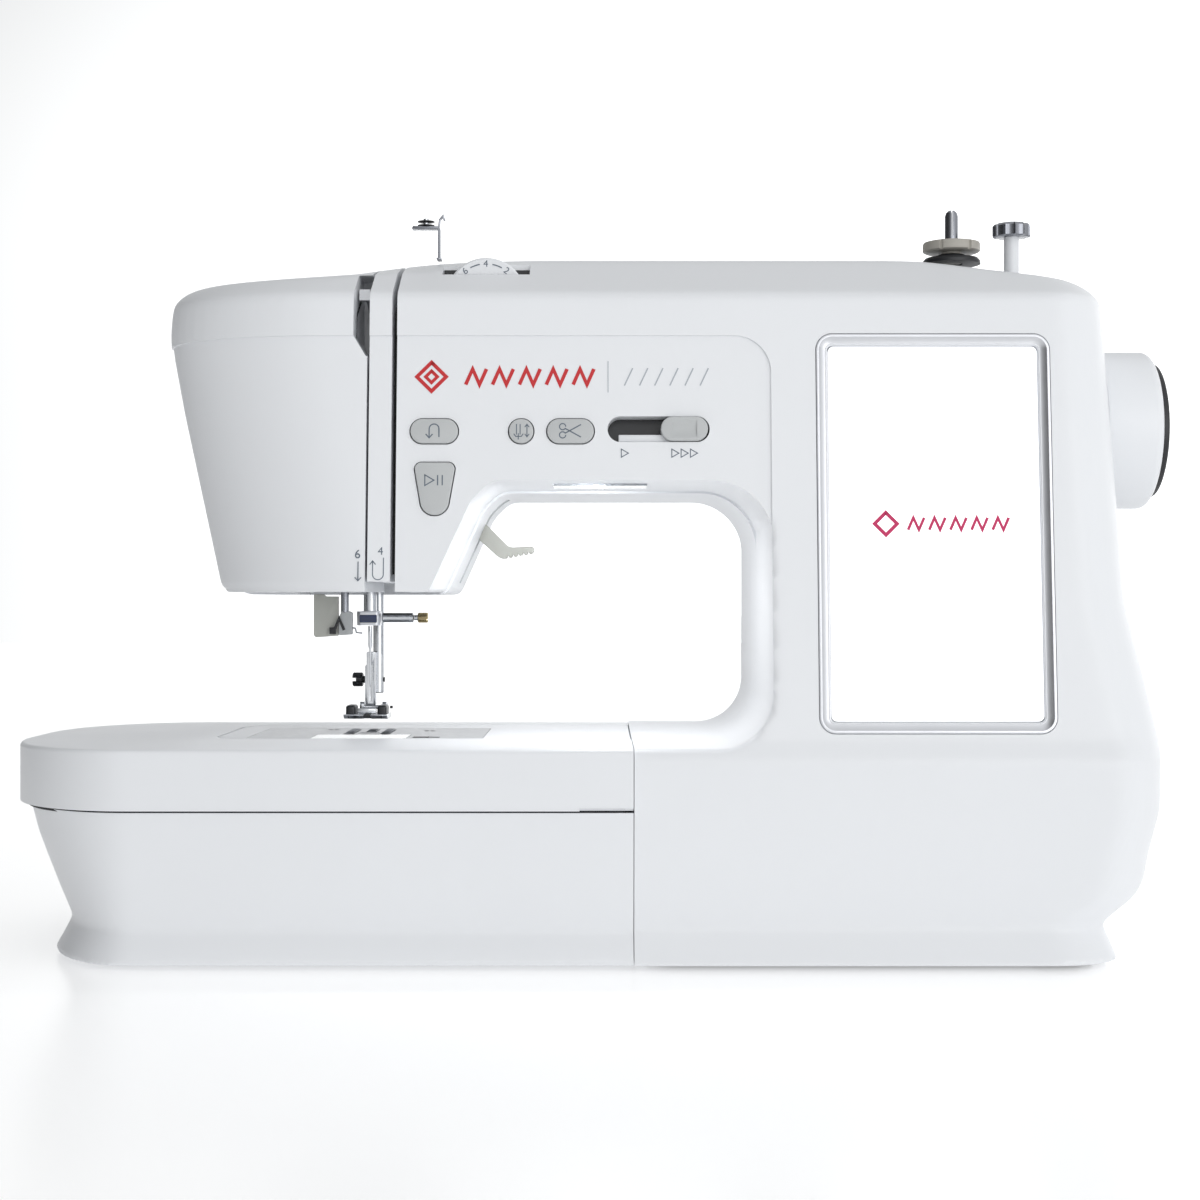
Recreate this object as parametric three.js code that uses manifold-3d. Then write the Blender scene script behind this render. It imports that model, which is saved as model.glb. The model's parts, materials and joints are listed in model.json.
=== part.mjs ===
// Computerised sewing machine with a slide-off extension tray. Millimetres, +Z up, front faces -Y.
import * as THREE from 'three';
import { mergeVertices } from 'three/addons/utils/BufferGeometryUtils.js';
import Module from 'manifold-3d';

const wasm = await Module();
wasm.setup();

// ---- driving dimensions ----
const WIDTH = 500; // end of the tray to the face of the handwheel
const DEPTH = 200; // over the flared foot
const BED_HEIGHT = 89; // ground to the sewing surface
const THROAT_HEIGHT = 108; // bed to the underside of the arm
const ARM_HEIGHT = 99; // underside of the arm to its crest
const WALL = 2.6; // moulded shells
const GAP = 0.3; // between neighbouring pieces
const LEAN = THREE.MathUtils.degToRad(5.56); // of the front face, backwards
const NEEDLE_INSET = 146; // end of the tray to the needle
const COLUMN_WIDTH = 180; // throat to the face of the handwheel
const SEAM_INSET = 56.2; // throat to the joint between tray and body
const NEEDLE_Y = 5;
const SPLIT_Y = 30; // joint between the front and rear casings
const GROUND_GAP = 2; // casings stand this far off the ground
const SCREEN_WIDTH = 86;
const SCREEN_HEIGHT = 154;
const BEZEL_RIM = 5.2;
const SHAFT_RADIUS = 5;
const BAR_RADIUS = 3;
const WHEEL_RADIUS = 35.3;
const BUTTON_PLAY = 0.35;

// ---- places worked out from them ----
const LEFT = -WIDTH / 2;
const RIGHT = WIDTH / 2;
const FRONT = -DEPTH / 2;
const BACK = DEPTH / 2;
const BED = BED_HEIGHT;
const UNDERSIDE = BED + THROAT_HEIGHT;
const CREST = UNDERSIDE + ARM_HEIGHT;
const NEEDLE_X = LEFT + NEEDLE_INSET;
const THROAT_X = RIGHT - COLUMN_WIDTH;
const SEAM_X = THROAT_X - SEAM_INSET;
const HEAD_BOTTOM = UNDERSIDE - 45.5;
const SHAFT_Z = UNDERSIDE + 28.5;
const LOWER_SHAFT_Z = BED - 41;
const FACE_Y = FRONT + 4;
const FACE_Z = BED + 4;
const TRAY_BACK = BACK - 16;
const TRAY_GROOVE_Z = BED - 25;
const ARM_FRONT = NEEDLE_Y - 43;
const ARM_BACK = NEEDLE_Y + 55;
const ARM_LEFT = NEEDLE_X - 64;
const ARM_CORNER = 20;
const SLOT_LEFT = NEEDLE_X + 8.5;
const SLOT_RIGHT = NEEDLE_X + 20.8;

const LOOKS = {
  shell: { color: 0xeceef2, roughness: 0.38, metalness: 0 },
  soft: { color: 0xd6d8d8, roughness: 0.5, metalness: 0 },
  dark: { color: 0x23252a, roughness: 0.6, metalness: 0 },
  rubber: { color: 0x2b2b2d, roughness: 0.9, metalness: 0 },
  chrome: { color: 0xc8ccd0, roughness: 0.16, metalness: 1 },
  steel: { color: 0x9a9ea4, roughness: 0.35, metalness: 1 },
  cast: { color: 0x8f9396, roughness: 0.6, metalness: 0.8 },
  silver: { color: 0xc9cbce, roughness: 0.3, metalness: 0.6 },
  glass: { color: 0xfafbff, roughness: 0.08, metalness: 0 },
  warm: { color: 0xcbccc4, roughness: 0.5, metalness: 0 },
  board: { color: 0x1f6b3f, roughness: 0.55, metalness: 0 },
};

// ---- solids ----
const ARC_STEP = Math.PI / 10;

/** Closed outline through [x, y, radius] corners, counter-clockwise, moved inwards by inset. */
function outline(corners, inset = 0) {
  const count = corners.length;
  const point = corners.map(([x, y]) => new THREE.Vector2(x, y));
  const moved = point.map((here, i) => {
    const into = here.clone().sub(point[(i + count - 1) % count]).normalize();
    const away = point[(i + 1) % count].clone().sub(here).normalize();
    const first = new THREE.Vector2(-into.y, into.x);
    const second = new THREE.Vector2(-away.y, away.x);
    const miter = first.clone().add(second).divideScalar(1 + first.dot(second));
    return here.clone().addScaledVector(miter, inset);
  });
  const path = moved.flatMap((here, i) => {
    const before = here.clone().sub(moved[(i + count - 1) % count]);
    const after = moved[(i + 1) % count].clone().sub(here);
    const room = Math.min(before.length(), after.length()) * 0.49;
    before.normalize();
    after.normalize();
    const turn = Math.atan2(before.cross(after), before.dot(after));
    const side = Math.sign(turn);
    const wanted = (corners[i][2] || 0) - side * inset;
    const tangent = Math.min(wanted * Math.tan(Math.abs(turn) / 2), room);
    if (!(tangent > 0.05) || Math.abs(turn) < 0.01) return [here];
    const radius = tangent / Math.tan(Math.abs(turn) / 2);
    const start = here.clone().addScaledVector(before, -tangent);
    const centre = start.clone().add(new THREE.Vector2(-before.y, before.x).multiplyScalar(side * radius));
    const steps = Math.max(1, Math.round(Math.abs(turn) / ARC_STEP));
    const spoke = start.clone().sub(centre);
    return Array.from({ length: steps + 1 }, (_, k) => {
      return spoke.clone().rotateAround(new THREE.Vector2(), (turn * k) / steps).add(centre);
    });
  });
  return new THREE.Shape(path);
}

/** Closed geometry turned into a solid that faces outwards. */
function solid(geometry) {
  const bare = geometry.clone();
  bare.deleteAttribute('normal');
  bare.deleteAttribute('uv');
  const merged = mergeVertices(bare, 1e-4);
  const position = merged.attributes.position;
  const faces = [];
  let volume = 0;
  const corner = [new THREE.Vector3(), new THREE.Vector3(), new THREE.Vector3()];
  for (let i = 0; i < merged.index.count; i += 3) {
    const face = [0, 1, 2].map((k) => merged.index.getX(i + k));
    if (new Set(face).size < 3) continue;
    face.forEach((vertex, k) => corner[k].fromBufferAttribute(position, vertex));
    volume += corner[0].dot(corner[1].clone().cross(corner[2]));
    faces.push(face);
  }
  const facing = volume < 0 ? faces.map(([a, b, c]) => [a, c, b]) : faces;
  const vertProperties = new Float32Array(position.array);
  const triVerts = new Uint32Array(facing.flat());
  return new wasm.Manifold(new wasm.Mesh({ numProp: 3, vertProperties, triVerts }));
}

const extruded = (shape, depth) => new THREE.ExtrudeGeometry(shape, { depth, bevelEnabled: false });
const alongZ = (shape, low, high) => solid(extruded(shape, high - low).translate(0, 0, low));
const alongY = (shape, low, high) => (
  solid(extruded(shape, high - low).rotateX(Math.PI / 2).translate(0, high, 0))
);
const YZ_TO_X = new THREE.Matrix4().makeBasis(
  new THREE.Vector3(0, 1, 0),
  new THREE.Vector3(0, 0, 1),
  new THREE.Vector3(1, 0, 0),
);
const alongX = (shape, low, high) => (
  solid(extruded(shape, high - low).applyMatrix4(YZ_TO_X).translate(low, 0, 0))
);

const box = (x0, x1, y0, y1, z0, z1) =>
  solid(
    new THREE.BoxGeometry(x1 - x0, y1 - y0, z1 - z0).translate((x0 + x1) / 2, (y0 + y1) / 2, (z0 + z1) / 2),
  );

/** Body turned about its own Z, from [radius, height] pairs. */
function turnedZ(profile, x = 0, y = 0, sides = 24) {
  const points = profile.map(([radius, height]) => new THREE.Vector2(radius, height));
  return solid(new THREE.LatheGeometry(points, sides).rotateX(Math.PI / 2).translate(x, y, 0));
}
function turnedX(profile, y, z, sides = 24) {
  const points = profile.map(([radius, height]) => new THREE.Vector2(radius, height));
  return solid(new THREE.LatheGeometry(points, sides).rotateZ(-Math.PI / 2).translate(0, y, z));
}
function turnedY(profile, x, z, sides = 24) {
  const points = profile.map(([radius, height]) => new THREE.Vector2(radius, height));
  return solid(new THREE.LatheGeometry(points, sides).translate(x, 0, z));
}
const rod = (radius, low, high) => [[0, low], [radius, low], [radius, high], [0, high]];
const ring = (inner, outer, low, high) => (
  [[inner, low], [outer, low], [outer, high], [inner, high], [inner, low]]
);
const rectangle = (x0, x1, y0, y1, radius = 0) => [
  [x0, y0, radius],
  [x1, y0, radius],
  [x1, y1, radius],
  [x0, y1, radius],
];
const joined = (...solids) => solids.reduce((sum, next) => sum.add(next));
const cut = (body, ...tools) => tools.reduce((left, tool) => left.subtract(tool), body);

const machine = new THREE.Group();

function add(name, look, body, parent = machine) {
  const mesh = body.getMesh();
  const geometry = new THREE.BufferGeometry();
  geometry.setAttribute('position', new THREE.BufferAttribute(new Float32Array(mesh.vertProperties), 3));
  geometry.setIndex(new THREE.BufferAttribute(new Uint32Array(mesh.triVerts), 1));
  geometry.computeVertexNormals();
  const piece = new THREE.Mesh(geometry, new THREE.MeshStandardMaterial(LOOKS[look]));
  piece.name = name;
  parent.add(piece);
}

function subGroup(x, y, z) {
  const group = new THREE.Group();
  group.position.set(x, y, z);
  machine.add(group);
  return group;
}

// ---- body envelope: front view, side view and plan view cut out of one another ----
const FRONT_VIEW = [
  [SEAM_X, GROUND_GAP, 0],
  [RIGHT - 38, GROUND_GAP, 1],
  [RIGHT - 42, 15.5, 6],
  [RIGHT - 24, 29, 20],
  [RIGHT - 16, BED - 27, 30],
  [RIGHT - 16, BED + 2, 40],
  [RIGHT - 29, BED + 60, 60],
  [RIGHT - 35, CREST - 34, 40],
  [RIGHT - 37, CREST - 11.5, 12],
  [RIGHT - 66, CREST - 6.5, 20],
  [RIGHT - 100, CREST, 60],
  [NEEDLE_X + 9, CREST, 60],
  [NEEDLE_X - 27, CREST - 7.4, 30],
  [NEEDLE_X - 80, CREST - 12.5, 8],
  [NEEDLE_X - 82.5, UNDERSIDE + 64, 60],
  [NEEDLE_X - 76, UNDERSIDE + 32, 60],
  [NEEDLE_X - 58, HEAD_BOTTOM, 7],
  [NEEDLE_X + 35, HEAD_BOTTOM, 4],
  [NEEDLE_X + 52, UNDERSIDE - 8, 12],
  [NEEDLE_X + 60, UNDERSIDE, 10],
  [THROAT_X, UNDERSIDE, 25],
  [THROAT_X, BED, 22],
  [SEAM_X, BED, 0],
];
const CHAMFER_Z = CREST - 21;
const chamferY = FACE_Y + (CHAMFER_Z - FACE_Z) * Math.tan(LEAN);
const SIDE_VIEW = [
  [FRONT, GROUND_GAP, 0],
  [BACK, GROUND_GAP, 0],
  [BACK - 7, 16.5, 6],
  [BACK - 4, BED + 3, 60],
  [BACK - 12, CREST - 20, 10],
  [BACK - 38, CREST, 20],
  [FRONT + 60, CREST, 30],
  [chamferY, CHAMFER_Z, 5],
  [FACE_Y, FACE_Z, 8],
  [FRONT + 0.5, BED - 5, 5],
  [FRONT + 2, TRAY_GROOVE_Z, 10],
  [FRONT + 7, 16.5, 6],
];
// corner ellipses of the plan: [along x, along y]
const HEAD_CORNER = [72, 52];
const COLUMN_CORNER = [28, 45];
const BACK_CORNER = [24, 24];
const FOOT_CORNER_DEPTH = 20;
const CORNER_STEPS = 7;
const SIDE_ALLOWANCE = 0.5;
const LEVEL_SPACING = 1.5;
const EDGE_MARGIN = 0.1;

/** Least and greatest first coordinate of a closed path at one height. */
function reach(path, height) {
  const found = path.flatMap((from, i) => {
    const to = path[(i + 1) % path.length];
    if (from.y > height === to.y > height) return [];
    return [from.x + ((to.x - from.x) * (height - from.y)) / (to.y - from.y)];
  });
  return [Math.min(...found), Math.max(...found)];
}

function quarter(centre, radii, from) {
  return Array.from({ length: CORNER_STEPS + 1 }, (_, k) => {
    const angle = from + (Math.PI / 2) * (k / CORNER_STEPS);
    return new THREE.Vector2(centre[0] + radii[0] * Math.cos(angle), centre[1] + radii[1] * Math.sin(angle));
  });
}

/** Solid through level rings that all have the same number of points. */
function lofted(rings, heights) {
  const sides = rings[0].length;
  const points = rings.flatMap((ring, level) => ring.flatMap((point) => [point.x, point.y, heights[level]]));
  const faces = [];
  for (let side = 1; side < sides - 1; side++) {
    const top = (rings.length - 1) * sides;
    faces.push(0, side + 1, side, top, top + side, top + side + 1);
  }
  for (let level = 0; level < rings.length - 1; level++) {
    for (let side = 0; side < sides; side++) {
      const here = level * sides + side;
      const next = level * sides + ((side + 1) % sides);
      faces.push(here, next, next + sides, here, next + sides, here + sides);
    }
  }
  const geometry = new THREE.BufferGeometry();
  geometry.setAttribute('position', new THREE.Float32BufferAttribute(points, 3));
  geometry.setIndex(faces);
  return solid(geometry);
}

/** Body with rounded plan corners, following the front and side views at every height. */
function roundedBody(inset) {
  const frontPath = outline(FRONT_VIEW, inset).getPoints(1);
  const sidePath = outline(SIDE_VIEW, inset).getPoints(1);
  const low = GROUND_GAP + inset;
  const high = CREST - inset;
  const marks = [...sidePath, ...frontPath].map((point) => point.y).sort((a, b) => a - b);
  const heights = [low - 1];
  for (const mark of marks) {
    if (mark > heights[heights.length - 1] + LEVEL_SPACING && mark < high - 2 * EDGE_MARGIN) {
      heights.push(mark);
    }
  }
  heights.push(high - EDGE_MARGIN, high + 1);
  const rings = heights.map((height) => {
    const z = Math.min(Math.max(height, low + EDGE_MARGIN), high - EDGE_MARGIN / 2);
    const [, sideRight] = reach(frontPath, z);
    const [sideLeft] = reach(frontPath, Math.max(z, HEAD_BOTTOM + inset + 1));
    const left = sideLeft - SIDE_ALLOWANCE;
    const right = sideRight + SIDE_ALLOWANCE;
    const [front, back] = reach(sidePath, z);
    const grown = Math.min(1, z / (BED / 2));
    const depth = FOOT_CORNER_DEPTH + (COLUMN_CORNER[1] - FOOT_CORNER_DEPTH) * grown;
    const smaller = ([x, y]) => [x - inset, y - inset];
    const head = smaller(HEAD_CORNER);
    const column = smaller([COLUMN_CORNER[0], depth]);
    const rear = smaller(BACK_CORNER);
    return [
      ...quarter([left + head[0], front + head[1]], head, Math.PI),
      ...quarter([right - column[0], front + column[1]], column, 1.5 * Math.PI),
      ...quarter([right - rear[0], back - rear[1]], rear, 0),
      ...quarter([left + rear[0], back - rear[1]], rear, Math.PI / 2),
    ];
  });
  return lofted(rings, heights);
}

function envelope(inset) {
  const frontView = alongY(outline(FRONT_VIEW, inset), FRONT - 1, BACK + 1);
  return frontView.intersect(roundedBody(inset));
}

// ---- the leaning front face carries the screen and the controls ----
const face = new THREE.Group();
face.position.set(0, FACE_Y, FACE_Z);
face.rotation.x = Math.PI / 2 - LEAN;
face.updateMatrixWorld();
machine.add(face);
const up = (z) => (z - FACE_Z) / Math.cos(LEAN);
const throughFace = (shape, low, high) =>
  solid(extruded(shape, high - low).translate(0, 0, low).applyMatrix4(face.matrixWorld));

const PILL_RADIUS = 5.2;
const PILL_HALF = 5.3;
const CONTROL_Z = UNDERSIDE + 21;
const PILL_LOW = up(CONTROL_Z - PILL_HALF);
const PILL_HIGH = up(CONTROL_Z + PILL_HALF);
const BUTTONS = {
  reverse_button: rectangle(NEEDLE_X + 26.3, NEEDLE_X + 46.3, PILL_LOW, PILL_HIGH, PILL_RADIUS),
  needle_position_button: rectangle(
    NEEDLE_X + 66.5,
    NEEDLE_X + 77.1,
    PILL_LOW,
    PILL_HIGH,
    PILL_RADIUS,
  ),
  thread_cutter_button: rectangle(
    NEEDLE_X + 82.1,
    NEEDLE_X + 101.8,
    PILL_LOW,
    PILL_HIGH,
    PILL_RADIUS,
  ),
  start_stop_button: [
    [NEEDLE_X + 31.5, up(CONTROL_Z - 34.7), 6.5],
    [NEEDLE_X + 41.8, up(CONTROL_Z - 34.7), 6.5],
    [NEEDLE_X + 45.6, up(CONTROL_Z - 12.6), 3],
    [NEEDLE_X + 27.6, up(CONTROL_Z - 12.6), 3],
  ],
};
const SLIDER_LEFT = NEEDLE_X + 107.1;
const SLIDER_RIGHT = NEEDLE_X + 148.8;
const SLIDER_Z = CONTROL_Z + 0.9;
const KNOB_LENGTH = 20.1;
const SLIDER_SLOT = rectangle(
  SLIDER_LEFT, SLIDER_RIGHT, up(SLIDER_Z - PILL_HALF), up(SLIDER_Z + PILL_HALF), PILL_RADIUS,
);
const SCREEN_X = RIGHT - 113.7;
const SCREEN_LOW = up(BED + 11);
const SCREEN = rectangle(
  SCREEN_X - SCREEN_WIDTH / 2,
  SCREEN_X + SCREEN_WIDTH / 2,
  SCREEN_LOW,
  SCREEN_LOW + SCREEN_HEIGHT,
  2.5,
);
const BEZEL = rectangle(
  SCREEN_X - SCREEN_WIDTH / 2 - BEZEL_RIM,
  SCREEN_X + SCREEN_WIDTH / 2 + BEZEL_RIM,
  SCREEN_LOW - BEZEL_RIM,
  SCREEN_LOW + SCREEN_HEIGHT + BEZEL_RIM,
  7,
);

function controls() {
  const proud = 0.8;
  const depth = 6;
  for (const [name, corners] of Object.entries(BUTTONS)) {
    const cap = alongZ(outline(corners, BUTTON_PLAY), -depth, proud);
    add(name, 'soft', cap, face);
  }
  const low = up(SLIDER_Z - PILL_HALF);
  const high = up(SLIDER_Z + PILL_HALF);
  const knobLeft = SLIDER_RIGHT - KNOB_LENGTH - 0.3;
  const knobRight = SLIDER_RIGHT - 0.3;
  const stemOutline = rectangle(knobLeft + 0.6, knobRight - 0.4, low, high, PILL_RADIUS);
  const stem = alongZ(outline(stemOutline, 0.5), -5, 1);
  const cap = alongZ(outline(rectangle(knobLeft, knobRight, low, high, PILL_RADIUS)), GAP, 3.2);
  add('speed_slider', 'soft', joined(stem, cap), face);
}

function screen() {
  const rim = alongZ(outline(BEZEL, GAP), -4.6, 0.5);
  add('screen_bezel', 'silver', cut(rim, alongZ(outline(SCREEN), -6, 2)), face);
  add('touch_screen', 'glass', alongZ(outline(SCREEN, GAP), -4.4, -1), face);
  const boardEdge = 6;
  add('main_board', 'board', alongZ(outline(SCREEN, boardEdge), -14, -12.4), face);
}

// ---- casings ----
const DIAL_X = NEEDLE_X + 56;
const DIAL_RADIUS = 17;
const DIAL_Z = CREST - 19.5;
const DIAL_Y = FRONT + 47;
const WINDER_X = RIGHT - 95.4;
const WINDER_Y = FRONT + 80;
const WINDER_TRAVEL = 6.5;
const WELL = {
  left: THROAT_X - 100,
  right: THROAT_X + 30,
  front: SPLIT_Y + 4,
  back: BACK - 24,
  floor: CREST - 28,
};
const PANEL = { x: RIGHT - 34, front: BACK - 62, back: BACK - 22, low: 28, high: 70 };
const HANDLE = { left: THROAT_X - 22, right: THROAT_X + 82, y: BACK - 4, z: CREST - 28, drop: 37, leg: 8 };
const PRESSER_HINGE = { x: NEEDLE_X + 40, y: SPLIT_Y + 20, z: UNDERSIDE - 12 };
const LAMP = { left: NEEDLE_X + 84, right: NEEDLE_X + 124, front: FRONT + 40, back: FRONT + 62 };
const HUB_RADIUS = 8;
const WHEEL_CLEARANCE = 1.2;
const VENT_COUNT = 5;

function casings() {
  const outer = envelope(0);
  const shell = outer.subtract(envelope(WALL));
  const lip = 5.4;
  const bottom = box(SEAM_X + lip, RIGHT - 48, FRONT + 9, BACK - 9, -1, WALL + 8);
  const armWindow = box(SEAM_X - 1, SEAM_X + WALL + 4, ARM_FRONT + 0.5, ARM_BACK - 0.5, -1, BED - WALL);
  const needleOpening = box(
    NEEDLE_X - 31, NEEDLE_X + 32, NEEDLE_Y - 19, SPLIT_Y + 1, HEAD_BOTTOM - 5, HEAD_BOTTOM + 9,
  );
  const open = cut(shell, bottom, armWindow, needleOpening);
  const frontHalf = open.intersect(box(LEFT, RIGHT, FRONT - 1, SPLIT_Y - GAP / 2, 0, CREST + 1));
  const rearHalf = open.intersect(box(LEFT, RIGHT, SPLIT_Y + GAP / 2, BACK + 1, 0, CREST + 1));

  const faceOutlines = [...Object.values(BUTTONS), SLIDER_SLOT];
  const faceHoles = faceOutlines.map((corners) => throughFace(outline(corners), -9, 9));
  const dialSlot = box(DIAL_X - 19.6, DIAL_X + 19.6, DIAL_Y - 5.5, DIAL_Y + 5.5, DIAL_Z, CREST + 2);
  const winderSlot = alongZ(
    outline(rectangle(WINDER_X - 5, WINDER_X + 5 + WINDER_TRAVEL, WINDER_Y - 5, WINDER_Y + 5, 4.9)),
    CREST - 9,
    CREST + 2,
  );
  const hubHole = turnedX(rod(HUB_RADIUS + 1.5, RIGHT - 50, RIGHT), NEEDLE_Y, SHAFT_Z);
  const lampHole = box(LAMP.left, LAMP.right, LAMP.front, LAMP.back, UNDERSIDE - 4, UNDERSIDE + WALL + 1);
  const vents = Array.from({ length: VENT_COUNT }, (_, k) =>
    box(RIGHT - 30, RIGHT, FRONT + 52, FRONT + 92, 30 + 9 * k, 33 + 9 * k),
  );
  const rightOfSlot = box(SLOT_RIGHT, RIGHT, FRONT - 1, BACK, 0, CREST + 1);
  const main = cut(
    frontHalf.intersect(rightOfSlot),
    ...faceHoles,
    throughFace(outline(BEZEL), -9, 9),
    dialSlot,
    winderSlot,
    hubHole,
    lampHole,
    ...vents,
  );
  add('front_casing', 'shell', main);

  const window = box(SLOT_LEFT - 5.5, SLOT_LEFT + 1, FRONT, FRONT + 60, CREST - 46, CREST + 1);
  const leftOfSlot = box(LEFT, SLOT_LEFT, FRONT - 1, BACK, 0, CREST + 1);
  add('face_cover', 'shell', frontHalf.intersect(leftOfSlot).subtract(window));

  const stripBand = box(SLOT_LEFT + 1, SLOT_RIGHT - 2.2, FRONT - 1, BACK, HEAD_BOTTOM + 5, CREST + 1);
  const clearOfOpening = box(LEFT, RIGHT, NEEDLE_Y - 20, BACK, 0, HEAD_BOTTOM + 12);
  add('thread_guide_strip', 'shell', frontHalf.intersect(stripBand).subtract(clearOfOpening));

  const wellOuter = box(
    WELL.left - WALL,
    WELL.right + WALL,
    SPLIT_Y + GAP / 2,
    WELL.back + WALL,
    WELL.floor - WALL,
    CREST + 1,
  ).intersect(outer);
  const well = box(WELL.left, WELL.right, WELL.front, WELL.back, WELL.floor, CREST + 2);
  const lugs = [HANDLE.left, HANDLE.right].map((x) => {
    const side = x === HANDLE.left ? -1 : 1;
    const near = x + side * (HANDLE.leg / 2 + GAP);
    const far = near + side * 7;
    return box(Math.min(near, far), Math.max(near, far), BACK - 13.4, BACK, HANDLE.z - 4, HANDLE.z + 4);
  });
  const panelHole = box(PANEL.x, RIGHT, PANEL.front, PANEL.back, PANEL.low, PANEL.high);
  const leverSlot = box(
    PRESSER_HINGE.x - 12,
    PRESSER_HINGE.x + 21,
    PRESSER_HINGE.y - 6,
    PRESSER_HINGE.y + 6,
    UNDERSIDE - 40,
    UNDERSIDE + 5,
  );
  const rear = joined(rearHalf, wellOuter, ...lugs);
  add('rear_casing', 'shell', cut(rear, well, panelHole, leverSlot));
}

function threadChannel() {
  const depth = 11;
  const thickness = 2;
  const back = alongX(outline(SIDE_VIEW, depth), SLOT_LEFT - 6.5, SLOT_RIGHT + 4);
  const hollow = alongX(outline(SIDE_VIEW, depth + thickness), SLOT_LEFT - 7, SLOT_RIGHT + 5);
  const reach = box(LEFT, RIGHT, FRONT, FRONT + 58, HEAD_BOTTOM + 8, CREST);
  const leverSlot = box(SLOT_LEFT - 5.7, SLOT_LEFT + 1, FRONT, FRONT + 60, UNDERSIDE, CREST + 1);
  add('thread_channel', 'dark', cut(back.subtract(hollow).intersect(reach), leverSlot));
}

const PAN_LOW = 3;
const PAN_HIGH = 6;
function base() {
  const column = box(SEAM_X + 5.7, RIGHT - 48.3, FRONT + 9.3, BACK - 9.3, PAN_LOW, PAN_HIGH);
  const tongue = box(ARM_LEFT + ARM_CORNER / 2, SEAM_X + 10, ARM_FRONT + 4, ARM_BACK - 4, PAN_LOW, PAN_HIGH);
  add('base_pan', 'cast', joined(column, tongue));
  const footRadius = 9;
  const places = {
    foot_front_left: [ARM_LEFT + 20, ARM_FRONT + 15],
    foot_rear_left: [ARM_LEFT + 20, ARM_BACK - 15],
    foot_front_right: [RIGHT - 62, FRONT + 24],
    foot_rear_right: [RIGHT - 62, BACK - 24],
  };
  for (const [name, [x, y]] of Object.entries(places)) {
    add(name, 'rubber', turnedZ(rod(footRadius, 0, PAN_LOW - GAP), x, y, 16));
  }
}

// ---- cast frame: one upright plate with bearing lugs ----
const PLATE_FRONT = NEEDLE_Y + 17;
const PLATE_BACK = PLATE_FRONT + 5;
const BAR_Y = NEEDLE_Y + 12;
const BAR_X = NEEDLE_X + 2.5;
const PRESSER_RADIUS = BAR_RADIUS - 0.1;
const TAKE_UP = { y: NEEDLE_Y + 9, z: UNDERSIDE + 61, x0: NEEDLE_X + 6.4, x1: NEEDLE_X + 8.2, pin: 2.4 };
const BELT_X = THROAT_X + 30;
const UPPER_LUGS = [NEEDLE_X + 44, THROAT_X - 10, RIGHT - 68];
const LOWER_LUGS = [NEEDLE_X + 44, THROAT_X - 5];
const MOTOR_Z = SHAFT_Z - 105.5;
const MOTOR_Y = NEEDLE_Y + 5;

function frame() {
  const plate = (x0, x1, z0, z1) => box(x0, x1, PLATE_FRONT, PLATE_BACK, z0, z1);
  const headLeft = NEEDLE_X - 8;
  const lugFront = NEEDLE_Y - 7;
  const lug = (x, z, half) => box(x - 4, x + 4, lugFront - 2, PLATE_FRONT + 1, z - half, z + half);
  const guide = (z) => box(headLeft, NEEDLE_X + 10, NEEDLE_Y - BAR_RADIUS - 3, PLATE_FRONT + 1, z, z + 8);
  const arm = joined(
    plate(headLeft, RIGHT - 60, UNDERSIDE + 8, UNDERSIDE + 53),
    plate(headLeft, NEEDLE_X + 12, HEAD_BOTTOM + 8, TAKE_UP.z + 8),
    plate(THROAT_X + 6, THROAT_X + 46, PAN_HIGH + GAP, UNDERSIDE + 53),
    plate(ARM_LEFT + 8, THROAT_X + 46, LOWER_SHAFT_Z - 12, BED - 9),
    ...UPPER_LUGS.map((x) => lug(x, SHAFT_Z, 14)),
    ...LOWER_LUGS.map((x) => lug(x, LOWER_SHAFT_Z, 8)),
    guide(HEAD_BOTTOM + 8.5),
    guide(UNDERSIDE + 1),
    box(NEEDLE_X - 2, TAKE_UP.x0 - 0.4, TAKE_UP.y - 6, PLATE_FRONT + 1, TAKE_UP.z - 8, TAKE_UP.z + 8),
    turnedX(rod(TAKE_UP.pin, TAKE_UP.x0 - 1, TAKE_UP.x1 + 0.6), TAKE_UP.y, TAKE_UP.z, 16),
  );
  const bores = [
    turnedX(rod(SHAFT_RADIUS + 0.4, NEEDLE_X + 30, RIGHT), NEEDLE_Y, SHAFT_Z, 20),
    turnedX(rod(SHAFT_RADIUS - 0.6, NEEDLE_X + 30, RIGHT), NEEDLE_Y, LOWER_SHAFT_Z, 20),
    turnedZ(rod(BAR_RADIUS + 0.35, HEAD_BOTTOM, UNDERSIDE + 20), NEEDLE_X, NEEDLE_Y, 20),
    turnedZ(rod(PRESSER_RADIUS + 0.35, HEAD_BOTTOM, UNDERSIDE + 20), BAR_X, BAR_Y, 20),
  ];
  add('cast_frame', 'cast', cut(arm, ...bores));
}

// ---- drive train ----
const TIMING_RADIUS = 14;
const DRIVE_RADIUS = 30;
const MOTOR_PULLEY_RADIUS = 8;
const DRIVE_X = RIGHT - 49;

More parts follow.
